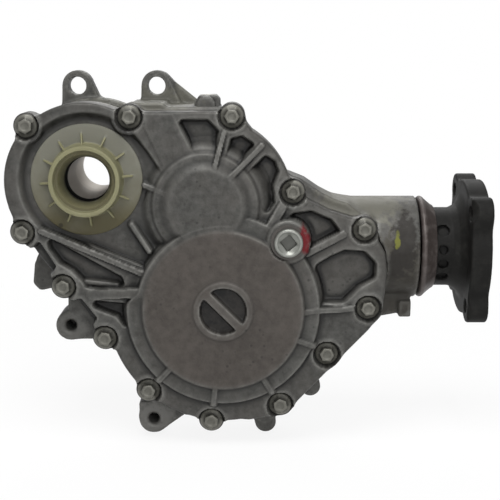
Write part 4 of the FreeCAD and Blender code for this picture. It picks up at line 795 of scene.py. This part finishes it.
def deflector_rows():
    """Rows of the pressed dust deflector: outer lip, rolled edge, cone and collar. Small dents run round the
    cone as a ripple of two waves."""
    angle = circle_steps(240)
    dent = 0.22 * np.clip(np.sin(7 * angle) * np.sin(19 * angle + 1.0), 0.0, 1.0)
    return [
        (35.0, 253.9), (38.2, 253.9), (38.8, 254.2), (39.4, 254.9), (39.9, 255.7), (39.95, 256.4),
        (39.85 - dent, 257.2), (39.4 - dent, 258.0), (38.4 - dent, 258.9), (36.2 - dent, 261.4),
        (34.2 - dent, 263.8), (33.2, 265.3), (32.8, 266.0), (32.3, 266.45), (31.0, 266.5), (31.0, 258.0),
        (29.4, 255.5), (33.5, 255.1),
    ]


# ---------------------------------------------------------------- finishes
def new_group(name, inputs, outputs):
    """An empty shader node group with named sockets. An input is (name, kind, default), an output a name."""
    group = bpy.data.node_groups.new(name, "ShaderNodeTree")
    for label, kind, default in inputs:
        socket = group.interface.new_socket(name=label, in_out="INPUT", socket_type=kind)
        socket.default_value = default
    for label in outputs:
        group.interface.new_socket(name=label, in_out="OUTPUT", socket_type="NodeSocketFloat")
    return group, group.nodes.new("NodeGroupInput"), group.nodes.new("NodeGroupOutput")


def set_inputs(tree, node, **inputs):
    """Fills a node's inputs, each named by its label with _ for a space, or by i and its number. A socket
    given as the value is linked."""
    for key, value in inputs.items():
        numbered = key[0] == "i" and key[1:].isdigit()
        socket = node.inputs[int(key[1:])] if numbered else node.inputs[key.replace("_", " ")]
        if isinstance(value, bpy.types.NodeSocket):
            tree.links.new(value, socket)
        else:
            socket.default_value = value
    return node


def add_node(tree, kind, settings=None, **inputs):
    """A node with its settings and inputs."""
    node = tree.nodes.new(kind)
    for key, value in (settings or {}).items():
        setattr(node, key, value)
    return set_inputs(tree, node, **inputs)


def maths(tree, operation, a, b=0.0):
    """The result of one operation on two values."""
    return add_node(tree, "ShaderNodeMath", {"operation": operation}, i0=a, i1=b).outputs[0]


def times(tree, a, b):
    """The product of two values."""
    return maths(tree, "MULTIPLY", a, b)


def remap(tree, value, low, high, to_low=0.0, to_high=1.0):
    """A value carried from one range to another, and held at its ends."""
    return add_node(tree, "ShaderNodeMapRange", None, Value=value, From_Min=low, From_Max=high,
                    To_Min=to_low, To_Max=to_high).outputs[0]


def mix_colour(tree, factor, a, b):
    """The first colour where the factor is 0, the second where it is 1."""
    return add_node(tree, "ShaderNodeMix", {"data_type": "RGBA"}, i0=factor, i6=a, i7=b).outputs[2]


def tinted(tree, colour, mask, amount, tint):
    """A colour, changed to the tint by the amount where the mask is 1."""
    return mix_colour(tree, times(tree, mask, amount), colour, tint)


def noise(tree, place, scale, detail=3.0, rough=0.5):
    """Noise from 0 to 1, with its scale per metre."""
    node = add_node(
        tree, "ShaderNodeTexNoise", None, Vector=place, Scale=scale, Detail=detail, Roughness=rough)
    return node.outputs[0]


def mark(tree, name):
    """A value that the piece's mesh carries at each vertex."""
    return add_node(tree, "ShaderNodeAttribute", {"attribute_name": name}).outputs["Fac"]


def cast_skin_group():
    """Cast skin: a fine height, mottling at two sizes, sparse pits, and a broad mask for stain."""
    group, start, end = new_group(
        "Cast skin", [("Place", "NodeSocketVector", (0, 0, 0)), ("Grain scale", "NodeSocketFloat", 700.0)],
        ["Height", "Mottle", "Pits", "Stain"])
    place = start.outputs["Place"]
    fine = noise(group, place, start.outputs["Grain scale"], 2.0, 0.6)
    broad = noise(group, place, 150.0, 4.0, 0.65)
    flow = noise(group, place, 22.0, 4.0, 0.6)
    spots = add_node(group, "ShaderNodeTexVoronoi", None, Vector=place, Scale=165.0).outputs["Distance"]
    rare = remap(group, noise(group, place, 75.0, 2.0), 0.5, 0.62)
    pits = times(group, remap(group, spots, 0.24, 0.08), rare)
    height = maths(group, "ADD", times(group, fine, 0.4), times(group, broad, 1.2))
    mottle = maths(group, "ADD", broad, times(group, flow, 0.6))
    set_inputs(
        group, end, Height=maths(group, "SUBTRACT", height, times(group, pits, 0.5)), Pits=pits,
        Mottle=remap(group, mottle, 0.62, 0.98), Stain=remap(group, flow, 0.42, 0.66))


def fine_wear_group():
    """Handling wear: soft scuffs and thin scratches as one mask."""
    group, start, end = new_group(
        "Fine wear", [("Place", "NodeSocketVector", (0, 0, 0)), ("Amount", "NodeSocketFloat", 0.5)],
        ["Mask"])
    place = start.outputs["Place"]
    scuff = remap(group, noise(group, place, 140.0, 5.0, 0.65), 0.46, 0.68)
    stretched = add_node(group, "ShaderNodeMapping", None, Vector=place, Scale=(40.0, 600.0, 900.0),
                         Rotation=(0.3, 0.5, 0.7)).outputs[0]
    thin = remap(group, noise(group, stretched, 1.0, 2.0), 0.62, 0.7)
    both = maths(group, "ADD", scuff, times(group, thin, 0.5))
    set_inputs(group, end, Mask=times(group, both, start.outputs["Amount"]))


def near_place_group():
    """A soft mask round a point: 1 at the point, 0 at the reach, its border broken up by noise. Shape
    stretches the patch along each axis."""
    group, start, end = new_group(
        "Near a place",
        [("Place", "NodeSocketVector", (0, 0, 0)), ("Middle", "NodeSocketVector", (0, 0, 0)),
         ("Shape", "NodeSocketVector", (1, 1, 1)), ("Reach", "NodeSocketFloat", 0.01),
         ("Ragged", "NodeSocketFloat", 0.4)], ["Mask"])
    place, middle, shape, reach, ragged = list(start.outputs)[:5]
    away = add_node(group, "ShaderNodeVectorMath", {"operation": "SUBTRACT"}, i0=place, i1=middle).outputs[0]
    shaped = add_node(group, "ShaderNodeVectorMath", {"operation": "MULTIPLY"}, i0=away, i1=shape).outputs[0]
    far = add_node(group, "ShaderNodeVectorMath", {"operation": "LENGTH"}, i0=shaped).outputs["Value"]
    rough = maths(group, "SUBTRACT", noise(group, place, 190.0, 4.0, 0.6), 0.5)
    rough = times(group, rough, times(group, ragged, 4.0))
    part = maths(group, "ADD", maths(group, "DIVIDE", far, reach), rough)
    set_inputs(group, end, Mask=remap(group, part, 1.0, 0.65))


def start_material(name):
    """A new material, with its tree, its shader and the place of each point on the object."""
    material = bpy.data.materials.new(name)
    material.use_nodes = True
    tree = material.node_tree
    place = tree.nodes.new("ShaderNodeTexCoord").outputs["Object"]
    return material, tree, tree.nodes["Principled BSDF"], place


def use_group(tree, name, **inputs):
    """A shared effect, placed in a tree with its own inputs."""
    return add_node(tree, "ShaderNodeGroup", {"node_tree": bpy.data.node_groups[name]}, **inputs)


def patch(tree, place, middle, shape, reach, ragged=0.4):
    """The mask of a soft patch round a point."""
    return use_group(
        tree, "Near a place", Place=place, Middle=middle, Shape=shape, Reach=reach, Ragged=ragged).outputs[0]


def stained(tree, colour, place, stains):
    """A colour with soft patches over it, each given as (colour, amount, middle, shape, reach)."""
    for tint, amount, *where in stains:
        colour = tinted(tree, colour, patch(tree, place, *where), amount, tint)
    return colour


def bump(tree, shader, height, distance, strength):
    """Tilts the shader's normal by a height, its distance in metres."""
    node = add_node(tree, "ShaderNodeBump", None, Strength=strength, Distance=distance, Height=height)
    set_inputs(tree, shader, Normal=node.outputs[0])


def shade(colour, share):
    """A colour with its three parts multiplied by a share."""
    return (*[c * share for c in colour[:3]], 1)


def cast_material(name, dark, light, tone, stains=(), under=None):
    """Cast aluminium: two greys mottled together, a browner tone where the mark says so, painted shade in the
    crevices, painted highlights along the edges that also stand for rubbed wear, and sparse pits. Where a
    colour of painted shade for the undersides is given, it takes the place of the browner pad and the paint."""
    material, tree, shader, place = start_material(name)
    skin = use_group(tree, "Cast skin", Place=place, Grain_scale=700.0)
    mottle = skin.outputs["Mottle"]
    colour = tinted(tree, mix_colour(tree, mottle, dark, light), skin.outputs["Stain"], 0.35, tone)
    if under is None:
        pad = mix_colour(tree, mottle, shade(tone, 0.85), shade(tone, 1.12))
        colour = tinted(tree, colour, mark(tree, "tone"), 0.85, pad)
    colour = stained(tree, colour, place, stains)
    # Painted shade on faces turned downwards.
    if under is not None:
        colour = tinted(tree, colour, mark(tree, "under"), 0.75, under)
    ragged = maths(tree, "ADD", 0.65, times(tree, mottle, 0.5))
    edge, crevice = mark(tree, "edge"), mark(tree, "crevice")
    # Painted highlights along convex edges, partly rubbed wear.
    colour = tinted(tree, colour, times(tree, edge, ragged), 0.5, shade(light, 2.4))
    # Painted shade in the crevices.
    colour = tinted(tree, colour, times(tree, crevice, ragged), 0.95, shade(dark, 0.08))
    colour = tinted(tree, colour, skin.outputs["Pits"], 0.6, shade(dark, 0.4))
    if under is None:
        broken = remap(tree, noise(tree, place, 420.0, 3.0), 0.32, 0.5, 0.55, 1.0)
        colour = tinted(tree, colour, mark(tree, "paint"), broken, PAINT_RED)
    rough = maths(tree, "ADD", remap(tree, mottle, 0.0, 1.0, 0.6, 0.5), times(tree, edge, -0.12))
    metallic = times(tree, maths(tree, "SUBTRACT", 1.0, crevice), 0.35)
    set_inputs(tree, shader, Base_Color=colour, Metallic=metallic, Roughness=rough, Specular_IOR_Level=0.3)
    bump(tree, shader, skin.outputs["Height"], 0.0002, 0.85)
    return material


def metal_material(name, colour, metallic, rough, wear, worn=None, grain=700.0, painted_shade_colour=None, stains=(),
                   shine=0.5):
    """Machined, plated or coated metal: even colour, worn lighter in scuffs, roughness that varies, stains,
    and painted shade where the mesh marks a crevice."""
    material, tree, shader, place = start_material(name)
    mask = use_group(tree, "Fine wear", Place=place, Amount=wear).outputs[0]
    light = worn or (*[min(1.0, c * 1.35 + 0.02) for c in colour[:3]], 1)
    tone = stained(tree, mix_colour(tree, mask, colour, light), place, stains)
    # Painted shade where the mesh marks a crevice.
    if painted_shade_colour:
        tone = tinted(tree, tone, mark(tree, "crevice"), 0.9, painted_shade_colour)
    set_inputs(tree, shader, Base_Color=tone, Metallic=metallic, Specular_IOR_Level=shine,
               Roughness=remap(tree, mask, 0.0, 1.0, *rough))
    bump(tree, shader, noise(tree, place, grain, 2.0), 0.00005, 0.5)
    return material


def bore_material(name, colour, dark):
    """The hollow shaft: turned steel, black over the first stretch from the front as a painted shadow, and
    duller over the next, with fine turning rings along its axis."""
    material, tree, shader, place = start_material(name)
    mask = use_group(tree, "Fine wear", Place=place, Amount=0.35).outputs[0]
    along = add_node(tree, "ShaderNodeSeparateXYZ", None, Vector=place).outputs["Y"]
    # A painted shadow: the first stretch of the bore from the front turns black.
    black = remap(tree, along, -0.057, -0.060)
    dull = remap(tree, along, -0.012, -0.016)
    tone = mix_colour(tree, mask, colour, shade(colour, 1.3))
    tone = mix_colour(tree, black, tinted(tree, tone, dull, 0.4, shade(colour, 0.55)), dark)
    rough = maths(tree, "MAXIMUM", remap(tree, mask, 0.0, 1.0, 0.6, 0.75), black)
    metallic = remap(tree, black, 0.0, 1.0, 0.55, 0.0)
    set_inputs(tree, shader, Base_Color=tone, Metallic=metallic, Roughness=rough, Specular_IOR_Level=0.1)
    bump(tree, shader, maths(tree, "SINE", times(tree, along, 9000.0)), 0.00001, 0.4)
    return material


def plastic_material(name, collar, behind, low):
    """Moulded translucent plastic: its own pale colour at the collar and gussets, what lies behind it where
    the wall is thin, darker and browner towards the bottom as painted shade, darker in the groove as painted
    shade, lighter at the tip and along the gussets as painted highlights, and a painted black shadow in the
    tube."""
    material, tree, shader, place = start_material(name)
    cloud = noise(tree, place, 38.0, 3.0, 0.6)
    height = add_node(tree, "ShaderNodeSeparateXYZ", None, Vector=place).outputs["Z"]
    # Painted shade: where the wall is thin it turns darker and browner towards the bottom.
    wander = maths(tree, "ADD", height, remap(tree, cloud, 0.3, 0.7, -0.014, 0.014))
    seen = mix_colour(tree, remap(tree, wander, 0.016, -0.036), behind, low)
    body = mix_colour(tree, remap(tree, cloud, 0.35, 0.65), collar, shade(collar, 0.82))
    colour = mix_colour(tree, mark(tree, "thin"), body, seen)
    # Painted shade in the groove.
    colour = tinted(tree, colour, mark(tree, "crevice"), 0.75, shade(low, 1.1))
    # Painted highlights at the tip, along the gussets and in the mouth.
    colour = tinted(tree, colour, mark(tree, "edge"), 0.5, shade(collar, 1.35))
    spot = patch(tree, place, (-0.020, -0.0756, -0.0345), (1, 1, 1), 0.0022, 0.25)
    colour = tinted(tree, colour, spot, 0.85, (0.02, 0.018, 0.01, 1))
    # A painted black shadow in the tube.
    tube_shadow = mark(tree, "paint")
    colour = mix_colour(tree, tube_shadow, colour, (0.004, 0.004, 0.003, 1))
    rough = maths(tree, "MAXIMUM", remap(tree, cloud, 0.3, 0.7, 0.42, 0.52), tube_shadow)
    set_inputs(tree, shader, Base_Color=colour, Roughness=rough, Specular_IOR_Level=0.25,
               Subsurface_Weight=0.12, Subsurface_Radius=(0.003, 0.003, 0.002))
    bump(tree, shader, noise(tree, place, 900.0, 2.0), 0.00005, 0.4)
    return material


def rubber_material(name):
    """Black rubber under a broken film of grey dust."""
    material, tree, shader, place = start_material(name)
    dust = noise(tree, place, 90.0, 4.0)
    black, grey = (0.012, 0.012, 0.012, 1), (0.04, 0.038, 0.035, 1)
    set_inputs(tree, shader, Base_Color=mix_colour(tree, remap(tree, dust, 0.4, 0.75), black, grey),
               Roughness=remap(tree, dust, 0.3, 0.7, 0.55, 0.75))
    bump(tree, shader, noise(tree, place, 1200.0, 2.0), 0.00005, 0.5)
    return material


# ---------------------------------------------------------------- properties
class CaseSizes(bpy.types.PropertyGroup):
    cover_cell: bpy.props.FloatProperty(
        name="Cover grid", description="Spacing of the front cover's grid", default=0.0009, min=0.0007,
        unit="LENGTH")
    case_cell: bpy.props.FloatProperty(
        name="Case grid", description="Spacing of the main case's grid", default=0.0016, min=0.0012,
        unit="LENGTH")
    flange_cell: bpy.props.FloatProperty(
        name="Flange grid", description="Spacing of the companion flange's grid", default=0.0011, min=0.0009,
        unit="LENGTH")


class CaseFinish(bpy.types.PropertyGroup):
    casting_dark: bpy.props.FloatVectorProperty(
        name="Casting, dark", description="Darker grey of the cast skin", subtype="COLOR", size=4,
        default=(0.047, 0.0465, 0.043, 1))
    casting_light: bpy.props.FloatVectorProperty(
        name="Casting, light", description="Lighter grey of the cast skin", subtype="COLOR", size=4,
        default=(0.086, 0.085, 0.079, 1))
    casting_brown: bpy.props.FloatVectorProperty(
        name="Casting, brown", description="Browner tone of the middle pad and of stains", subtype="COLOR",
        size=4, default=(0.066, 0.057, 0.050, 1))
    backdrop: bpy.props.FloatVectorProperty(
        name="Backdrop", description="Colour of the floor and the surroundings", subtype="COLOR", size=4,
        default=(1, 1, 1, 1))


PAINT_RED = (0.13, 0.010, 0.013, 1)
OIL_STAIN = (0.009, 0.006, 0.004, 1)
PALE_STAIN = (0.15, 0.145, 0.115, 1)
RAW_FACE = (0.16, 0.157, 0.148, 1)
YELLOW_DAB = (0.15, 0.155, 0.012, 1)


def finishes():
    """Every material, by the slot that it finishes."""
    chosen = bpy.context.scene.case_finish
    dark, light, brown = (tuple(c) for c in (chosen.casting_dark, chosen.casting_light, chosen.casting_brown))
    case_stains = [
        (PALE_STAIN, 0.75, (0.208, -0.035, -0.020), (1, 0.4, 1.6), 0.038),
        (PALE_STAIN, 0.6, (0.040, -0.03, 0.054), (0.35, 0.4, 1.2), 0.020),
        (PALE_STAIN, 0.7, (0.072, -0.004, 0.061), (1, 0.5, 0.8), 0.012),
        ((0.040, 0.033, 0.021, 1), 0.75, (0.236, -0.060, -0.066), (0.9, 0.3, 1.1), 0.030),
        ((0.020, 0.016, 0.010, 1), 0.85, (0.232, -0.040, -0.092), (1, 0.3, 1.1), 0.030),
        (OIL_STAIN, 1.0, (0.2415, -0.066, -0.050), (1.9, 0.4, 0.8), 0.022),
        (OIL_STAIN, 1.0, (0.234, -0.064, -0.066), (1.5, 0.4, 1.0), 0.015),
        (YELLOW_DAB, 0.9, (0.2348, -0.066, -0.0475), (2.4, 0.5, 0.8), 0.0060),
        (RAW_FACE, 0.8, (0.0467, -0.060, -0.1912), (1, 0.1, 1), 0.018),
        (RAW_FACE, 0.4, (-0.0168, -0.060, -0.1159), (1, 0.1, 1), 0.015),
    ]
    red_side = [(PAINT_RED, 1.0, (0.1655, -0.088, -0.0425), (1.4, 0.5, 0.7), 0.0105)]
    return {
        "cover_cast_aluminium": lambda: cast_material("Cover casting", dark, light, brown),
        # The body's last colour is painted shade for faces turned downwards.
        "cast_aluminium": lambda: cast_material(
            "Body casting", shade(dark, 1.1), shade(light, 1.2), brown, case_stains,
            (0.022, 0.019, 0.015, 1)),
        "gasket_black": lambda: rubber_material("Gasket"),
        # Its last colour is painted shade for its crevices.
        "bolt_zinc": lambda: metal_material(
            "Bolt zinc", (0.125, 0.122, 0.104, 1), 0.4, (0.42, 0.55), 0.6, (0.20, 0.195, 0.168, 1),
            painted_shade_colour=(0.018, 0.017, 0.014, 1)),
        # Its last colour is painted shade for its crevices.
        "plug_zinc": lambda: metal_material(
            "Plug zinc", (0.23, 0.235, 0.215, 1), 0.65, (0.38, 0.5), 0.7, painted_shade_colour=(0.03, 0.03, 0.027, 1)),
        "washer_aluminium": lambda: metal_material(
            "Washer aluminium", (0.075, 0.069, 0.063, 1), 0.4, (0.45, 0.58), 0.5, stains=red_side, shine=0.3),
        # The last colour is painted shade at the bottom of the thin rim and in the groove.
        "protector_plastic": lambda: plastic_material(
            "Protector plastic", (0.185, 0.178, 0.102, 1), (0.165, 0.163, 0.132, 1),
            (0.080, 0.071, 0.036, 1)),
        "seal_rubber": lambda: rubber_material("Seal rubber"),
        "vent_steel": lambda: metal_material("Vent zinc", (0.35, 0.34, 0.30, 1), 1.0, (0.35, 0.5), 0.5),
        # The second colour is the painted black shadow at the front of the bore.
        "machined_steel": lambda: bore_material(
            "Machined steel", (0.50, 0.465, 0.42, 1), (0.004, 0.004, 0.004, 1)),
        "gear_steel": lambda: metal_material("Gear steel", (0.30, 0.30, 0.31, 1), 1.0, (0.25, 0.4), 0.3),
        "bearing_steel": lambda: metal_material(
            "Bearing steel", (0.58, 0.58, 0.60, 1), 1.0, (0.12, 0.22), 0.2),
        # Its last colour is painted shade for its crevices.
        "flange_iron": lambda: metal_material(
            "Flange coating", (0.0095, 0.0092, 0.0085, 1), 0.0, (0.55, 0.68), 0.7, (0.022, 0.0215, 0.0195, 1),
            grain=420.0, painted_shade_colour=(0.003, 0.003, 0.003, 1), shine=0.12),
        "deflector_steel": lambda: metal_material(
            "Deflector steel", (0.062, 0.050, 0.046, 1), 0.4, (0.45, 0.6), 0.8, (0.125, 0.11, 0.102, 1)),
        "bronze": lambda: metal_material("Bearing bronze", (0.45, 0.30, 0.15, 1), 1.0, (0.3, 0.4), 0.3),
    }


def finish_for(slot):
    """The material of a slot, made once."""
    key = "finish_" + slot
    if key not in bpy.context.scene:
        material = finishes()[slot]()
        bpy.context.scene[key] = material.name
    return bpy.data.materials[bpy.context.scene[key]]


def seen_directly(tree, reflected):
    """1 where the camera looks straight or through glass at a surface, and a given share in reflections."""
    path = tree.nodes.new("ShaderNodeLightPath")
    seen = maths(tree, "MAXIMUM", path.outputs["Is Camera Ray"], path.outputs["Is Transmission Ray"])
    return maths(tree, "MAXIMUM", seen, times(tree, path.outputs["Is Glossy Ray"], reflected))


def make_floor(backdrop):
    """A plain floor a little below the lowest point, slightly darker near the object."""
    bpy.ops.mesh.primitive_plane_add(size=6.0, location=(0.1, 0.0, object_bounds()[0][2] - FLOOR_GAP))
    floor = bpy.context.object
    floor.name = "floor"
    material, tree, shader, place = start_material("Floor")
    set_inputs(tree, shader, Base_Color=backdrop, Roughness=0.9)
    glow = add_node(tree, "ShaderNodeEmission", None, Color=backdrop, Strength=1.0)
    away = add_node(tree, "ShaderNodeVectorMath", {"operation": "LENGTH"}, i0=place).outputs["Value"]
    seen = times(tree, seen_directly(tree, 1.0), remap(tree, away, 0.25, 0.6, 0.88, 1.0))
    mixed = add_node(tree, "ShaderNodeMixShader", None, i0=seen, i1=shader.outputs[0], i2=glow.outputs[0])
    tree.links.new(mixed.outputs[0], tree.nodes["Material Output"].inputs[0])
    floor.data.materials.append(material)
    floor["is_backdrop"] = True


def make_world(backdrop):
    """Even surroundings that light the object dimly and show the backdrop's colour where they are seen."""
    world = bpy.data.worlds.new("Surroundings")
    bpy.context.scene.world = world
    world.use_nodes = True
    tree = world.node_tree
    plain = set_inputs(tree, tree.nodes["Background"], Color=(1, 1, 1, 1), Strength=WORLD_LIGHT)
    bright = add_node(tree, "ShaderNodeBackground", None, Color=backdrop, Strength=1.0)
    mixed = add_node(tree, "ShaderNodeMixShader", None, i0=seen_directly(tree, 0.5), i1=plain.outputs[0],
                     i2=bright.outputs[0])
    tree.links.new(mixed.outputs[0], tree.nodes["World Output"].inputs[0])


# ---------------------------------------------------------------- operators
class MakeFinishes(bpy.types.Operator):
    """Make the shared effects, and give every solid that stays in view its finish"""
    bl_idname = "transfer_case.finishes"
    bl_label = "Finishes"

    def execute(self, context):
        cast_skin_group()
        fine_wear_group()
        near_place_group()
        for part in frame["record"]["subparts"]:
            node = frame["nodes"][part["node"]]
            node.data.materials.clear()
            node.data.materials.append(finish_for(part["material_slot"]))
        return {"FINISHED"}


class MakeFrontCover(bpy.types.Operator):
    """Make the ribbed front cover"""
    bl_idname = "transfer_case.front_cover"
    bl_label = "Front cover"

    def execute(self, context):
        vertices, faces, marks = cover_surface(context.scene.case_sizes.cover_cell * 1000)
        close_back(build_mesh(
            "cover_casting", vertices, faces, "case", "cover_cast_aluminium", ["front_cover"], angle=60,
            marks=marks))
        return {"FINISHED"}


class MakeMainCase(bpy.types.Operator):
    """Make the main case with its neck, lugs and bosses"""
    bl_idname = "transfer_case.main_case"
    bl_label = "Main case"

    def execute(self, context):
        cell = context.scene.case_sizes.case_cell * 1000
        vertices, faces, marks = surface_net(case_field, (-66.0, -75.0, -211.0), (258.0, 13.0, 83.0), cell)
        piece = build_mesh(
            "case_casting", vertices, faces, "case", "cast_aluminium", ["main_case"], angle=50, marks=marks)
        thin = piece.modifiers.new("Fewer faces", "DECIMATE")
        thin.ratio = min(1.0, CASE_TRIANGLES / (2 * len(faces)))
        return {"FINISHED"}


class MakeCoverBolts(bpy.types.Operator):
    """Make the thirteen flanged cover bolts"""
    bl_idname = "transfer_case.cover_bolts"
    bl_label = "Cover bolts"

    def execute(self, context):
        parts = [turned(bolt, bolt_rows(k * 0.77)) for k, bolt in enumerate(COVER_BOLTS)]
        vertices, faces = joined(parts)
        middle = np.repeat(np.array(COVER_BOLTS), len(vertices) // len(COVER_BOLTS), axis=0)
        r, height = disc(vertices[:, 0], vertices[:, 2], middle.T, 0.0), -vertices[:, 1]
        # Painted shade where the hex meets the flange, in the dished head and at the flange's rim by the
        # scallop.
        foot = smooth_step(SEAT + 3.6, SEAT + 3.0, height) * smooth_step(6.2, 5.3, r)
        dish = 0.35 * smooth_step(3.2, 2.7, r) * smooth_step(SEAT + 6.0, SEAT + 7.0, height)
        rim = 0.7 * smooth_step(8.6, 8.8, r)
        build_mesh("cover_bolt_set", vertices, faces, "case", "bolt_zinc", ["cover_bolts"], merge=0.002,
                   marks={"crevice": np.maximum(foot, np.maximum(dish, rim))})
        return {"FINISHED"}


class MakeFillPlug(bpy.types.Operator):
    """Make the filler plug"""
    bl_idname = "transfer_case.fill_plug"
    bl_label = "Filler plug"

    def execute(self, context):
        vertices, faces = turned(PLUG, plug_rows())
        r, height = disc(vertices[:, 0], vertices[:, 2], PLUG, 0.0), -vertices[:, 1]
        # Painted shade deep in the socket and at the foot of the plug.
        deep = smooth_step(PLUG_SEAT + 4.6, PLUG_SEAT + 2.2, height) * smooth_step(8.0, 7.0, r)
        foot = smooth_step(PLUG_SEAT + 2.4, PLUG_SEAT + 1.6, height)
        build_mesh("filler_plug", vertices, faces, "case", "plug_zinc", ["fill_plug"], merge=0.002,
                   marks={"crevice": np.maximum(0.5 * deep, 0.8 * foot)})
        return {"FINISHED"}


class MakeSealProtector(bpy.types.Operator):
    """Make the moulded seal protector"""
    bl_idname = "transfer_case.seal_protector"
    bl_label = "Seal protector"

    def execute(self, context):
        vertices, faces = turned(INPUT, protector_rows(), closed=True)
        build_mesh("seal_guard", vertices, faces, "protector", "protector_plastic", ["seal_protector"],
                   marks=protector_marks(vertices))
        return {"FINISHED"}


class MakeCompanionFlange(bpy.types.Operator):
    """Make the cast companion flange"""
    bl_idname = "transfer_case.companion_flange"
    bl_label = "Companion flange"

    def execute(self, context):
        cell = context.scene.case_sizes.flange_cell * 1000
        vertices, faces, marks = surface_net(flange_field, (240.5, -99.0, -126.0), (308.5, 37.0, 10.0), cell)
        build_mesh("flange_casting", vertices, faces, "output", "flange_iron", ["companion_flange"], angle=50,
                   marks=marks)
        return {"FINISHED"}


class MakeDustDeflector(bpy.types.Operator):
    """Make the pressed dust deflector"""
    bl_idname = "transfer_case.dust_deflector"
    bl_label = "Dust deflector"

    def execute(self, context):
        vertices, faces = turned((TAIL_Y, TAIL_Z), deflector_rows(), axis="x", closed=True)
        build_mesh("dust_ring", vertices, faces, "output", "deflector_steel", ["dust_deflector"])
        return {"FINISHED"}


class MakeStage(bpy.types.Operator):
    """Make the floor, the surroundings, the lamps and the camera"""
    bl_idname = "transfer_case.stage"
    bl_label = "Stage"

    def execute(self, context):
        scene = context.scene
        backdrop = tuple(scene.case_finish.backdrop)
        make_floor(backdrop)
        make_world(backdrop)
        for name, place, aim, size, power in LAMPS:
            lamp = bpy.data.lights.new(name, "AREA")
            lamp.energy, lamp.size = power, size
            light = bpy.data.objects.new(name, lamp)
            scene.collection.objects.link(light)
            light.location = place
            light.rotation_euler = (Vector(aim) - Vector(place)).to_track_quat("-Z", "Y").to_euler()
        camera = bpy.data.objects.new("camera", bpy.data.cameras.new("camera"))
        scene.collection.objects.link(camera)
        camera.location, camera.rotation_euler = CAMERA_PLACE, (radians(CAMERA_TILT), 0, 0)
        camera.data.lens, camera.data.sensor_width = CAMERA_LENS, 36.0
        scene.camera = camera
        scene.view_settings.view_transform = "Standard"
        return {"FINISHED"}


class TransferCasePanel(bpy.types.Panel):
    """Lists the pieces in the order that they are made"""
    bl_idname = "VIEW3D_PT_transfer_case"
    bl_label = "Transfer Case"
    bl_space_type = "VIEW_3D"
    bl_region_type = "UI"
    bl_category = "Transfer Case"

    def draw(self, context):
        for group in (context.scene.case_sizes, context.scene.case_finish):
            for key in group.__annotations__:
                self.layout.prop(group, key)
        for operator in PIECES:
            self.layout.operator(operator.bl_idname)


PIECES = [
    MakeFinishes, MakeFrontCover, MakeMainCase, MakeCoverBolts, MakeFillPlug, MakeSealProtector,
    MakeCompanionFlange, MakeDustDeflector, MakeStage,
]
CLASSES = [CaseSizes, CaseFinish, *PIECES, TransferCasePanel]


def register():
    """Registers the classes and adds the two property groups to the scene."""
    for item in CLASSES:
        bpy.utils.register_class(item)
    bpy.types.Scene.case_sizes = bpy.props.PointerProperty(type=CaseSizes)
    bpy.types.Scene.case_finish = bpy.props.PointerProperty(type=CaseFinish)


def unregister():
    """Undoes what register does."""
    del bpy.types.Scene.case_finish
    del bpy.types.Scene.case_sizes
    for item in reversed(CLASSES):
        bpy.utils.unregister_class(item)


def main():
    """Makes every piece in order."""
    register()
    for operator in PIECES:
        group, name = operator.bl_idname.split(".")
        getattr(getattr(bpy.ops, group), name)()


if __name__ == "__main__":
    main()
